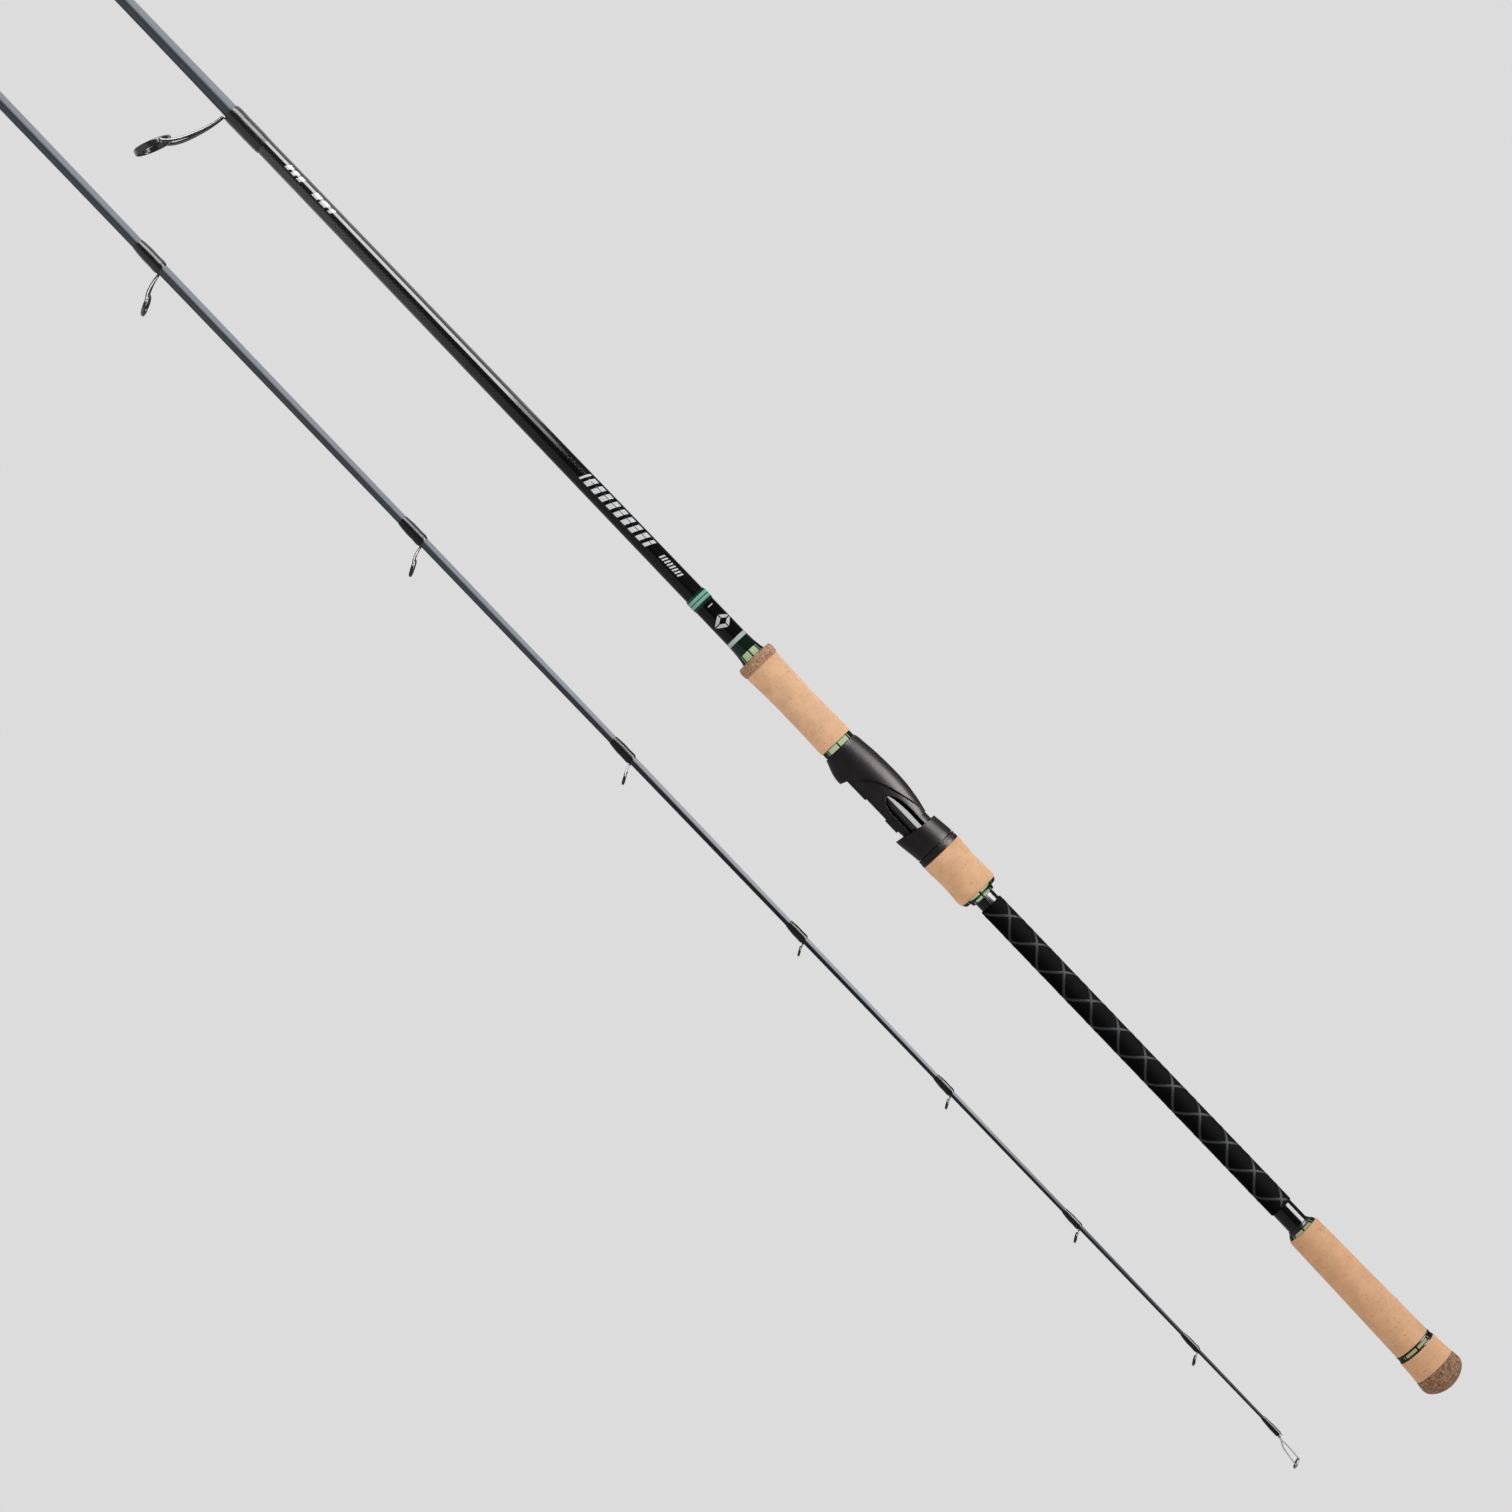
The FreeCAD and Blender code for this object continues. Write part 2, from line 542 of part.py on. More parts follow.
def moving_hood():
    mouth_x = HOOD_MOUTH_X
    hood = loft(HOOD_ROWS)
    # oblique mouth: longest on the reel-foot side
    hood = hood.cut(prism([(mouth_x, 20), (-461.0, 20), (-461.6, 8.0), (-463.0, -2.0),
                           (-464.4, -9.0), (-465.9, -16.5), (mouth_x, -18)]))
    # bore, widened at the front
    hood = hood.cut(cyl(mouth_x, -440, HOOD_BORE_R))
    hood = hood.cut(turned_solid([(mouth_x, 11.55), (-457.6, 11.55), (-456.6, HOOD_BORE_R)]))
    # opening for the reel foot
    hood = hood.cut(half_oval(mouth_x, HOOD_MOUTH_DEPTH, HOOD_MOUTH_HALF, HOOD_MOUTH_Z, 3.0))
    hood = hood.cut(box(mouth_x, mouth_x + HOOD_MOUTH_DEPTH, HOOD_MOUTH_HALF - 0.01,
                        HOOD_MOUTH_Z - 0.1, -5.0))
    # snap groove that holds the nut's collar, and the key that stops the hood turning
    hood = hood.cut(cyl(-451.4, -440, 11.85)).cut(cyl(-451.4, -449.3, 12.35))
    return one(hood.fuse(box(-456.4, -451.6, KEY_HALF, 9.3, HOOD_BORE_R + 0.3)))


def hood_liner():
    """Curved pad lining the sliding hood's opening, shrunk slightly for clearance."""
    pad = half_oval(HOOD_MOUTH_X + 5.6, 11.6, HOOD_MOUTH_HALF, HOOD_MOUTH_Z, 3.0)
    pad = pad.cut(half_oval(-480.0, 40, 6.2, -10.3, 2.5))
    pad = pad.cut(box(-480, -440, 9, -11.4, 0))
    pad.scale(0.99, V(-459.0, 0, -12.0))
    return one(pad)


export("moving_hood", moving_hood())
export("hood_liner", hood_liner())

# ================================================================ lock nut
# Nut: snap collar at the front, flange, then a plain tube that carries the cork
nut = turned([
    (-451.1, 11.0), (-451.1, 11.9, 0.2), (-450.3, 12.15), (-449.6, 12.15), (-449.2, 11.65),
    (NUT_X0, 11.65), (NUT_X0, 13.72, 0.3), (-446.2, 13.85), (-445.9, 13.6), (-445.5, 13.6),
    (-445.2, 13.9), (NUT_COLLAR_X, 13.9, 0.35), (NUT_COLLAR_X, NUT_TUBE_R),
    (NUT_END_X, NUT_TUBE_R), (NUT_END_X, NUT_ROOT_R), (-447.6, NUT_ROOT_R), (-448.4, 11.0)])
nut_ridge = thread_ridge(-446.0, -438.0, NUT_ROOT_R + RIDGE_SINK, NUT_CREST_R,
                         w_base=1.15, w_crest=0.40, phase=THREAD_PITCH / 2)
export("lock_nut", one(nut.fuse(nut_ridge)))
export("lock_nut_cork", turned_curve(
    [(NUT_COLLAR_X + GLUE, 13.95), (-438.0, 13.85), (-431.0, 13.5), (-426.0, 13.4),
     (-420.0, 13.6), (-414.6, 13.95), (-412.4, 13.75), (NUT_END_X, 13.0)],
    inner_r=NUT_TUBE_R + GLUE))
export("lock_nut_end_ring", turned(
    [(NUT_END_X + GLUE, NUT_ROOT_R), (NUT_END_X + GLUE, 12.95, 0.15), (-409.3, 12.4, 0.3),
     (NUT_X1, 11.4, 0.4), (NUT_X1, NUT_ROOT_R)]))

# ================================================================ tip section
# Blank: female ferrule at its -X end, tapered bore, solid from BORE_END_X to the tip
BORE_END_X = -420.0
FERRULE_END_X = TIP_BASE_X + FERRULE_DEPTH
export("tip_blank", turned(
    [(TIP_BASE_X, FERRULE_BORE_R), (TIP_BASE_X, TIP_BLANK[0][1], 0.25)] + TIP_BLANK[1:]
    + [(TIP_END_X, 0.0), (BORE_END_X, 0.0), (BORE_END_X, 0.9), (-700.0, 1.75),
       (-1000.0, 2.55), (FERRULE_END_X + 1.5, 3.05), (FERRULE_END_X, FERRULE_BORE_R)], TIP_Z))

# Thread wrap that reinforces the female ferrule
ferrule_wrap = turned_curve(
    [(-1357.6, 4.78), (-1356.6, 5.05), (-1352.0, 5.12), (-1326.0, 4.98), (-1322.6, 4.86),
     (-1321.0, 4.56)], z0=TIP_Z)
export("tip_ferrule_wrap", one(ferrule_wrap.cut(core(TIP_BLANK, TIP_BASE_X, -1310.0, TIP_Z))))

pattern = None
for name, wrap_x, length, ahead, drop, od, lean, wire_r in TIP_GUIDES:
    frame, ring, wrap = make_guide(
        side=1, wrap_x0=wrap_x - length / 2, wrap_x1=wrap_x + length / 2, blank=TIP_BLANK,
        z0=TIP_Z, ring_x=wrap_x + ahead, drop=drop, od=od, lean=lean, wire_r=wire_r,
        wrap_height=foot_thickness(wire_r) + 0.38, wrap_drop=0.08)
    # the smallest guides are one pattern, set at the same height above the blank's surface
    if od == SMALL_OD:
        base_r = interp(TIP_BLANK, wrap_x + length / 2 - FOOT_SHARE * length)
        if pattern is None:
            pattern = (frame, ring, wrap_x, base_r)
        first_frame, first_ring, first_x, first_r = pattern
        frame, ring = first_frame.copy(), first_ring.copy()
        for piece in (frame, ring):
            piece.translate(V(wrap_x - first_x, 0, first_r - base_r))
    export(name + "_frame", frame)
    export(name + "_ring", ring)
    export(name + "_wrap", wrap)


def tip_top():
    """Tube over the blank's end, three arms and a hoop with its ceramic ring."""
    hoop_r, hoop_in = 3.4, 3.4 - 0.42
    ring_r = hoop_in - GLUE
    joint_r, arm_r = 3.2, 0.38
    lean = -22.0
    centre = V(-30.4, 0, TIP_Z - 4.35)
    tube = turned_solid([(TIP_TUBE_X0, TIP_TUBE_R, 0.1), (TIP_TUBE_X1, TIP_TUBE_R, 0.25)], TIP_Z)
    hoop = leant(rounded_ring(hoop_in, hoop_r, 1.1, 0.15), lean, centre)
    ring = leant(rounded_ring(ring_r - 0.8, ring_r, 1.6, 0.38), lean, centre)
    # one arm runs level to the top of the ring, two drop to its flanks;
    # each starts in the tube's wall
    root_x, exit_x = TIP_TUBE_X1 - 2.5, TIP_TUBE_X1 + 0.5
    arms = [wire_rod([V(root_x, 0, TIP_Z - 1.02), V(exit_x, 0, TIP_Z - 1.05),
                      V(-41.0, 0, TIP_Z - 0.9), rim_point(centre, lean, joint_r, 0)], arm_r)]
    for y_side in (-1, 1):
        arms.append(wire_rod(
            [V(root_x, y_side * 0.88, TIP_Z - 0.52), V(exit_x, y_side * 1.0, TIP_Z - 0.85),
             V(-44.5, y_side * 1.35, TIP_Z - 2.6), V(-38.5, y_side * 2.1, TIP_Z - 4.2),
             rim_point(centre, lean, joint_r, y_side * 108)], arm_r))
    frame = tube.multiFuse([hoop] + arms)
    frame = frame.cut(core(TIP_BLANK, -60.0, TIP_END_X + GLUE, TIP_Z))
    return one(frame.cut(hoop_bore(hoop_in, 6, lean, centre))), ring


def tip_top_wrap():
    """Thread wrap from the blank onto the tip-top's tube."""
    start_x = -64.5
    wrap = turned_curve(
        [(start_x, interp(TIP_BLANK, start_x) + 0.12), (-63.6, 1.34), (-60.5, 1.62),
         (-56.5, 1.86), (-51.5, 1.88), (-50.4, 1.74), (-50.0, 1.50)], z0=TIP_Z)
    wrap = wrap.cut(core(TIP_BLANK, -66.0, -49.3, TIP_Z))
    return one(wrap.cut(cyl(TIP_TUBE_X0 - GLUE, -49.0, TIP_TUBE_R + GLUE, TIP_Z)))


frame, ring = tip_top()
export("tip_top_frame", frame)
export("tip_top_ring", ring)
export("tip_top_wrap", tip_top_wrap())
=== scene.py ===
# Two-piece fishing rod, its sections laid parallel to the X axis.
# The butt section's axis is at z = 0, with its butt cap at x = 0 and its far end towards -X.
# The tip section lies below it (-Z), thin end near x = 0. Front is -Y, where the camera is.
# Sizes of the rod are in millimetres; floor, lights and camera are in metres.
import bpy
import json
import math
import numpy as np
from mathutils import Matrix, Vector

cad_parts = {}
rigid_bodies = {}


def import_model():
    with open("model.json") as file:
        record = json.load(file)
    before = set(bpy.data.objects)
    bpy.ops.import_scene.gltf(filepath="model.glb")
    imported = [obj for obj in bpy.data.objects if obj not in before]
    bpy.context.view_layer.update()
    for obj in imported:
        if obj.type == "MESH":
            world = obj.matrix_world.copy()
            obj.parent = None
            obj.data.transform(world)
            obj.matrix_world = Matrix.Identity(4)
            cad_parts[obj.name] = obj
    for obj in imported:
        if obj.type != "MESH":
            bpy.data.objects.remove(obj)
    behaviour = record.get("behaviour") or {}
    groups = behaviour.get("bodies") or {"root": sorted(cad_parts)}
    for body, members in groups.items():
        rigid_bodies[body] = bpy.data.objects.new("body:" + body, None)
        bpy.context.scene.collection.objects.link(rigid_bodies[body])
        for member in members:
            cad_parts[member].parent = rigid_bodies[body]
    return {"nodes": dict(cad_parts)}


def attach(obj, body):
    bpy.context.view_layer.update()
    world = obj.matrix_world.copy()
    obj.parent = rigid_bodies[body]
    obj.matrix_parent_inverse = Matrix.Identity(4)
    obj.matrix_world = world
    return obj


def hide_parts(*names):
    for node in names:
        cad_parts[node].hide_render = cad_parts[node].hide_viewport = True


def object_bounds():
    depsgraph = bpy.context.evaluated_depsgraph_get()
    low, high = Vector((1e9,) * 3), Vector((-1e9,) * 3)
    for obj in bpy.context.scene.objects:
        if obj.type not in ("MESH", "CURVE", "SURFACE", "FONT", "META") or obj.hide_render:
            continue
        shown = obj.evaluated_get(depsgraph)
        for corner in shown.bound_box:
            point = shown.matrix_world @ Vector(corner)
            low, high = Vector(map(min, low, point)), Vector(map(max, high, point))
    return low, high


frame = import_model()
cad_low, cad_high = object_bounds()
NODES = frame["nodes"]

MM = 0.001
TIP_Z = -95.4        # axis of the tip section
GLUE = 0.02          # radial gap between a piece and what it sits on
TURN = 2 * math.pi
BUTT, NUT, TIP = "butt_section", "lock_nut", "tip_section"

# Outlines as (x, radius)
BUTT_BLANK = [(-5.5, 6.32), (-660.0, 5.72), (-1052.0, 4.64), (-1100.0, 4.38), (-1257.0, 4.02)]
BUTT_BORE = [(-1330.0, 2.70), (-1257.0, 2.95), (-1052.0, 3.60), (-660.0, 4.55), (-5.5, 5.10)]
COATING = [(-5.5, 6.96), (-140.0, 6.90), (-660.0, 6.36), (-1030.0, 5.44), (-1050.0, 5.36)]
TIP_BLANK = [
    (-1358.0, 4.62), (-1300.0, 4.28), (-1128.0, 3.75), (-840.0, 3.15), (-660.0, 2.75),
    (-480.0, 2.20), (-270.0, 1.62), (-180.0, 1.32), (-49.2, 0.95),
]
STRIPPER_SEAT = [(-1100.0, 4.38), (-1052.0, 5.40), (-1030.0, 5.46), (-1000.0, 5.53)]


# ---------------------------------------------------------------- curves and outlines
def smoothstep(value, start, end):
    t = np.clip((value - start) / (end - start), 0.0, 1.0)
    return t * t * (3 - 2 * t)


def wrap_angle(angle):
    """The angle brought into -pi to pi."""
    return (angle + math.pi) % TURN - math.pi


def radius_at(outline, x):
    points = sorted(outline)
    return np.interp(x, [p[0] for p in points], [p[1] for p in points])


def spline(points, count):
    """Natural cubic curve through points of any dimension, as count points along it."""
    knots = np.array(points, float)
    chords = np.linalg.norm(np.diff(knots, axis=0), axis=1)
    at = np.concatenate([[0], np.cumsum(chords)])
    last = len(knots) - 1
    system = np.eye(last + 1)
    target = np.zeros_like(knots)
    for i in range(1, last):
        before, after = chords[i - 1], chords[i]
        system[i, i - 1:i + 2] = before, 2 * (before + after), after
        target[i] = 6 * ((knots[i + 1] - knots[i]) / after - (knots[i] - knots[i - 1]) / before)
    bend = np.linalg.solve(system, target)
    samples = np.linspace(0, at[-1], count)
    i = np.clip(np.searchsorted(at, samples) - 1, 0, last - 1)
    t = (samples - at[i])[:, None]
    span = chords[i][:, None]
    slope = (knots[i + 1] - knots[i]) / span - span * (2 * bend[i] + bend[i + 1]) / 6
    cubic = (bend[i + 1] - bend[i]) / (6 * span)
    return [tuple(p) for p in knots[i] + slope * t + bend[i] / 2 * t ** 2 + cubic * t ** 3]


def refined(points, step):
    """The same line with no piece longer than step."""
    out = [points[0]]
    for a, b in zip(points, points[1:]):
        n = max(1, int(math.ceil(math.hypot(b[0] - a[0], b[1] - a[1]) / step)))
        out += [(a[0] + (b[0] - a[0]) * i / n, a[1] + (b[1] - a[1]) * i / n)
                for i in range(1, n + 1)]
    return out


def bore(outer, under):
    """Inner line that closes the outer one a glue gap above the outline under it."""
    return [(x, float(radius_at(under, x)) + GLUE) for x in (outer[-1][0], outer[0][0])]


# ---------------------------------------------------------------- meshes
def outward(verts, groups):
    """Face groups, each an (n, corners) array, with their faces turned outwards."""
    volume = 0.0
    for faces in groups:
        for k in range(1, faces.shape[1] - 1):
            a, b, c = (verts[faces[:, corner]] for corner in (0, k, k + 1))
            volume += np.einsum("ij,ij->i", a, np.cross(b, c)).sum()
    return [faces[:, ::-1] for faces in groups] if volume < 0 else groups


def add_mesh(name, verts, groups, attributes, sharp):
    """Smooth-shaded object from mm vertices; edges above sharp degrees stay sharp."""
    corners = np.concatenate([np.full(len(faces), faces.shape[1]) for faces in groups])
    loops = np.concatenate([faces.ravel() for faces in groups])
    mesh = bpy.data.meshes.new(name)
    mesh.vertices.add(len(verts))
    mesh.vertices.foreach_set("co", (verts * MM).astype(np.float32).ravel())
    mesh.loops.add(len(loops))
    mesh.loops.foreach_set("vertex_index", loops.astype(np.int32))
    mesh.polygons.add(len(corners))
    mesh.polygons.foreach_set("loop_start", (np.cumsum(corners) - corners).astype(np.int32))
    mesh.polygons.foreach_set("use_smooth", np.ones(len(corners), bool))
    mesh.update(calc_edges=True)
    mesh.validate()
    mesh.set_sharp_from_angle(angle=math.radians(sharp))
    for key, values in attributes.items():
        attribute = mesh.attributes.new(key, "FLOAT", "POINT")
        attribute.data.foreach_set("value", values.astype(np.float32))
    ob = bpy.data.objects.new(name, mesh)
    bpy.context.scene.collection.objects.link(ob)
    return ob


def fit(ob, body, material, replaces):
    """Give the piece its material, parent it to its body and hide the CAD piece it replaces."""
    ob.data.materials.append(material)
    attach(ob, body)
    if replaces:
        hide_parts(replaces)


def turned(name, outer, slot, material, seg, replaces=None, inner=None, body=BUTT, axis_z=0.0,
           step=None, mask=None, fade=None, relief=None, drop=0.0):
    """Piece turned about the X axis at axis_z, from an outer and an inner line of (x, radius).

    Angles are 0 facing -Y and +90 degrees facing +Z. The outer skin gets
    mask: (attribute name, field of (x, angle), height where the field is 1),
    fade: scales that height along x; relief: further height, of (x, angle);
    drop: how far the skin is lowered.
    With no inner line, the piece sits on the coated butt blank.
    """
    inner = bore(outer, COATING) if inner is None else inner
    outer = refined(outer, step) if step else list(outer)
    profile = np.array(outer + inner, float)
    x = np.repeat(profile[:, :1], seg, 1)
    radius = np.repeat(profile[:, 1:], seg, 1)
    angle = np.repeat((np.arange(seg) * TURN / seg)[None, :], len(profile), 0)
    skin = slice(0, len(outer))
    attributes = {}
    if mask:
        attribute, field, height = mask
        values = field(x[skin], angle[skin])
        radius[skin] += height * values * (fade(x[skin]) if fade else 1.0)
        attributes[attribute] = np.concatenate([values, np.zeros((len(inner), seg))])
    if relief:
        radius[skin] += relief(x[skin], angle[skin])
    z = axis_z + radius * np.sin(angle)
    z[skin] -= drop
    grid = np.stack([x, -radius * np.cos(angle), z], -1)

    # A point on the axis is a single vertex; otherwise the section closes on itself
    sizes = [1 if r < 1e-9 else seg for r in profile[:, 1]]
    first = np.cumsum([0] + sizes)
    pairs = [(i, i + 1) for i in range(len(sizes) - 1)]
    if min(sizes) > 1:
        pairs.append((len(sizes) - 1, 0))
    here = np.arange(seg)
    following = (here + 1) % seg
    groups = []
    for i, j in pairs:
        a, b = first[i], first[j]
        if sizes[i] == 1:
            ring = [np.full(seg, a), b + here, b + following]
        elif sizes[j] == 1:
            ring = [a + here, np.full(seg, b), a + following]
        else:
            ring = [a + here, b + here, b + following, a + following]
        groups.append(np.stack(ring, 1))

    def gather(rows):
        return np.concatenate([row[:size] for row, size in zip(rows, sizes)])

    verts = gather(grid)
    attributes = {key: gather(values) for key, values in attributes.items()}
    ob = add_mesh(name, verts, outward(verts, groups), attributes, sharp=38.0)
    fit(ob, body, material, replaces)


# ---------------------------------------------------------------- shader helpers
def srgb(*levels):
    """Linear colour from sRGB levels of 0 to 255."""
    out = []
    for level in levels:
        c = level / 255.0
        out.append(c / 12.92 if c <= 0.04045 else ((c + 0.055) / 1.055) ** 2.4)
    return (*out, 1.0)


def grey(level):
    return (level, level, level, 1)


def shade(color, *factors):
    """The colour times one factor, or times one for each channel."""
    return tuple(min(1, c * k) for c, k in zip(color[:3], factors * 3)) + (1,)


class Net:
    """Thin layer over a node tree. Most methods make a node and return its output socket."""

    def __init__(self, tree):
        self.tree = tree

    def put(self, socket, value):
        if isinstance(value, bpy.types.NodeSocket):
            self.tree.links.new(value, socket)
        else:
            socket.default_value = value

    def node(self, kind, inputs=(), **settings):
        """New node; inputs pairs an index or name with a value or socket."""
        node = self.tree.nodes.new("ShaderNode" + kind)
        for key, value in settings.items():
            setattr(node, key, value)
        for key, value in dict(inputs).items():
            self.put(node.inputs[key], value)
        return node

    def calc(self, operation, *values, clamp=False):
        node = self.node("Math", enumerate(values), operation=operation, use_clamp=clamp)
        return node.outputs[0]

    def add(self, a, b, clamp=False):
        return self.calc("ADD", a, b, clamp=clamp)

    def sub(self, a, b):
        return self.calc("SUBTRACT", a, b)

    def mul(self, a, b, clamp=False):
        return self.calc("MULTIPLY", a, b, clamp=clamp)

    def max(self, a, b):
        return self.calc("MAXIMUM", a, b)

    def vector(self, operation, a, b):
        return self.node("VectorMath", {0: a, 1: b}, operation=operation).outputs[0]

    def scaled(self, vector, factor):
        return self.node("VectorMath", {0: vector, 3: factor}, operation="SCALE").outputs[0]

    def split(self, vector):
        return self.node("SeparateXYZ", {0: vector}).outputs

    def join(self, x, y, z):
        return self.node("CombineXYZ", enumerate((x, y, z))).outputs[0]

    def fade(self, value, over, to=(0.0, 1.0)):
        """Smooth change between the two ends of to as value crosses over."""
        limits = {"Value": value, "From Min": over[0], "From Max": over[1],
                  "To Min": to[0], "To Max": to[1]}
        return self.node("MapRange", limits, interpolation_type="SMOOTHSTEP").outputs["Result"]

    def window(self, value, rise, fall):
        """1 between rise and fall."""
        return self.mul(self.fade(value, over=rise), self.fade(value, over=fall, to=(1.0, 0.0)))

    def band(self, value, centre, half, soft):
        """1 within half of the centre."""
        distance = self.calc("ABSOLUTE", self.sub(value, centre))
        return self.fade(distance, over=(half - soft, half + soft), to=(1.0, 0.0))

    def bands(self, value, stations, soft):
        """Bands at several stations of (centre, half width)."""
        masks = [self.band(value, centre, half, soft) for centre, half in stations]
        out = masks[0]
        for mask in masks[1:]:
            out = self.max(out, mask)
        return out

    def mix(self, factor, a, b):
        inputs = {0: factor, 6: a, 7: b}
        return self.node("Mix", inputs, data_type="RGBA", clamp_factor=True).outputs[2]

    def mix_shader(self, factor, a, b):
        return self.node("MixShader", {0: factor, 1: a, 2: b}).outputs[0]

    def noise(self, place, scale, detail=3.0, rough=0.55, output=0):
        inputs = {"Vector": place, "Scale": scale, "Detail": detail, "Roughness": rough}
        return self.node("TexNoise", inputs).outputs[output]

    def voronoi(self, place, scale, feature="F1", output="Distance"):
        inputs = {"Vector": place, "Scale": scale}
        return self.node("TexVoronoi", inputs, feature=feature).outputs[output]

    def attribute(self, name):
        return self.node("Attribute", attribute_name=name).outputs["Fac"]

    def bump(self, height, distance, strength, **normal):
        """Bump of a height; distance is in metres. Normal= sets the normal it starts from."""
        inputs = {"Strength": strength, "Distance": distance, "Height": height, **normal}
        return self.node("Bump", inputs).outputs[0]

    def around(self, place, axis_z=0.0):
        """x, angle (0 facing -Y, + up), and offsets from the axis forwards (-Y) and up."""
        x, y, z = self.split(place)
        up = self.sub(z, axis_z)
        forward = self.mul(y, -1.0)
        return x, self.calc("ARCTAN2", up, forward), forward, up

    def normal_z(self):
        """Z of the world normal: 1 facing up, -1 facing down."""
        return self.split(self.node("NewGeometry").outputs["Normal"])[2]

    def surface(self, **inputs):
        """Fill the Principled inputs, named in lower case, and return the material."""
        for key, value in inputs.items():
            title = key.replace("_", " ").title().replace("Ior", "IOR")
            self.put(self.bsdf.inputs[title], value)
        return self.material


def new_material(name):
    """A material's net, and the place being shaded in mm of the rest frame."""
    material = bpy.data.materials.new(name)
    material.use_nodes = True
    net = Net(material.node_tree)
    net.material = material
    net.bsdf = material.node_tree.nodes["Principled BSDF"]
    return net, net.scaled(net.node("TexCoord").outputs["Object"], 1000.0)


# ---------------------------------------------------------------- materials
def cork(name, base, first_joint, ring_length=12.7):
    """Natural cork, glued up from rings that start at x = first_joint."""
    net, place = new_material(name)
    x, angle, forward, up = net.around(place)
    radius = net.calc("SQRT", net.add(net.mul(up, up), net.mul(forward, forward)))
    broad = net.noise(place, scale=0.11, detail=4.0, rough=0.6)
    mottle = net.noise(place, scale=0.55, detail=4.0, rough=0.6)
    grain = net.noise(place, scale=3.2, detail=3.0, rough=0.7)
    color = net.mix(net.fade(broad, over=(0.30, 0.72)), shade(base, 0.90), shade(base, 1.06))
    blotch = net.fade(mottle, over=(0.40, 0.80), to=(0.0, 0.22))
    color = net.mix(blotch, color, shade(base, 0.76))
    # Every ring has its own tint, and the glue lines between them show faintly
    ring = net.calc("DIVIDE", net.sub(x, first_joint), ring_length)
    number = net.calc("FLOOR", ring)
    tint = net.node("TexWhiteNoise", {"W": number}, noise_dimensions="1D").outputs["Value"]
    color = net.mix(net.mul(tint, 0.16), color, shade(base, 0.86, 0.76, 0.66))
    from_middle = net.calc("ABSOLUTE", net.sub(net.calc("FRACT", ring), 0.5))
    seam = net.fade(from_middle, over=(0.488, 0.4985))
    color = net.mix(net.mul(seam, 0.28), color, shade(base, 0.55, 0.42, 0.33))
    # Small lenticels in patches, then the fine cell grain
    stretched = net.join(net.mul(x, 0.9), net.mul(angle, 5.0), net.mul(radius, 0.2))
    spot = net.voronoi(stretched, scale=0.62)
    patches = net.fade(net.noise(place, scale=0.3, detail=2.0), over=(0.5, 0.62))
    speck = net.mul(net.fade(spot, over=(0.05, 0.17), to=(1.0, 0.0)), patches)
    color = net.mix(net.mul(speck, 0.5), color, shade(base, 0.42, 0.28, 0.20))
    cells = net.fade(grain, over=(0.55, 0.8), to=(0.0, 0.22))
    color = net.mix(cells, color, shade(base, 0.66, 0.56, 0.48))
    pit = net.mul(net.attribute("pit"), 0.62, clamp=True)
    color = net.mix(pit, color, shade(base, 0.34, 0.22, 0.15))
    # Grain and mottle stand up, specks and seams go in
    height = net.add(net.mul(grain, 0.5), net.mul(mottle, 0.4))
    height = net.sub(height, net.mul(speck, 0.5))
    height = net.sub(height, net.mul(seam, 0.5))
    return net.surface(
        base_color=color,
        roughness=net.fade(mottle, over=(0.2, 0.8), to=(0.74, 0.90)),
        specular_ior_level=0.10,
        normal=net.bump(height, distance=0.00022, strength=0.55),
    )


def burl(name, dark, middle, light, scale):
    """Pressed burl cork: irregular chips with dark lines between them."""
    net, place = new_material(name)
    swirl = net.noise(place, scale=0.5, detail=3.0, output="Color")
    warped = net.vector("ADD", place, net.scaled(swirl, 1.6))
    pick = net.split(net.voronoi(warped, scale, output="Color"))[0]
    ramp = net.node("ValToRGB", {0: pick})
    elements = ramp.color_ramp.elements
    elements[0].color = dark
    elements[1].color = light
    for position, color in ((0.22, middle), (0.55, light), (0.78, middle)):
        elements.new(position).color = color
    edge = net.voronoi(warped, scale, feature="DISTANCE_TO_EDGE")
    line = net.fade(edge, over=(0.02, 0.16), to=(1.0, 0.0))
    color = net.mix(net.mul(line, 0.55), ramp.outputs[0], shade(dark, 0.62))
    # Small dark chips, light blotches, then the pits
    chip = net.split(net.voronoi(place, scale=2.1, output="Color"))[1]
    color = net.mix(net.fade(chip, over=(0.62, 0.95), to=(0.0, 0.6)), color, dark)
    blotch = net.fade(net.noise(place, scale=1.2), over=(0.58, 0.75), to=(0.0, 0.5))
    color = net.mix(blotch, color, light)
    pit = net.mul(net.attribute("pit"), 0.6, clamp=True)
    color = net.mix(pit, color, shade(dark, 0.4))
    height = net.sub(net.mul(chip, 0.4), net.mul(line, 0.8))
    return net.surface(
        base_color=color, roughness=0.82, specular_ior_level=0.10,
        normal=net.bump(height, distance=0.0002, strength=0.6),
    )


# Silver dashes on the coating, as (centre x, half width)
BIG_DASHES = [(-753.6, 0.744), *((-748.6 + 6.4 * k, 1.86) for k in range(8)), (-698.2, 1.24)]
SMALL_DASHES = [(-687.0 + 2.2 * k, 0.55) for k in range(8)]
FAR_DASHES = [(-1010.0, 1.6), (-1005.0, 1.6), (-1000.0, 1.6),
              (-986.0, 2.4), (-979.5, 2.4), (-973.5, 1.2)]


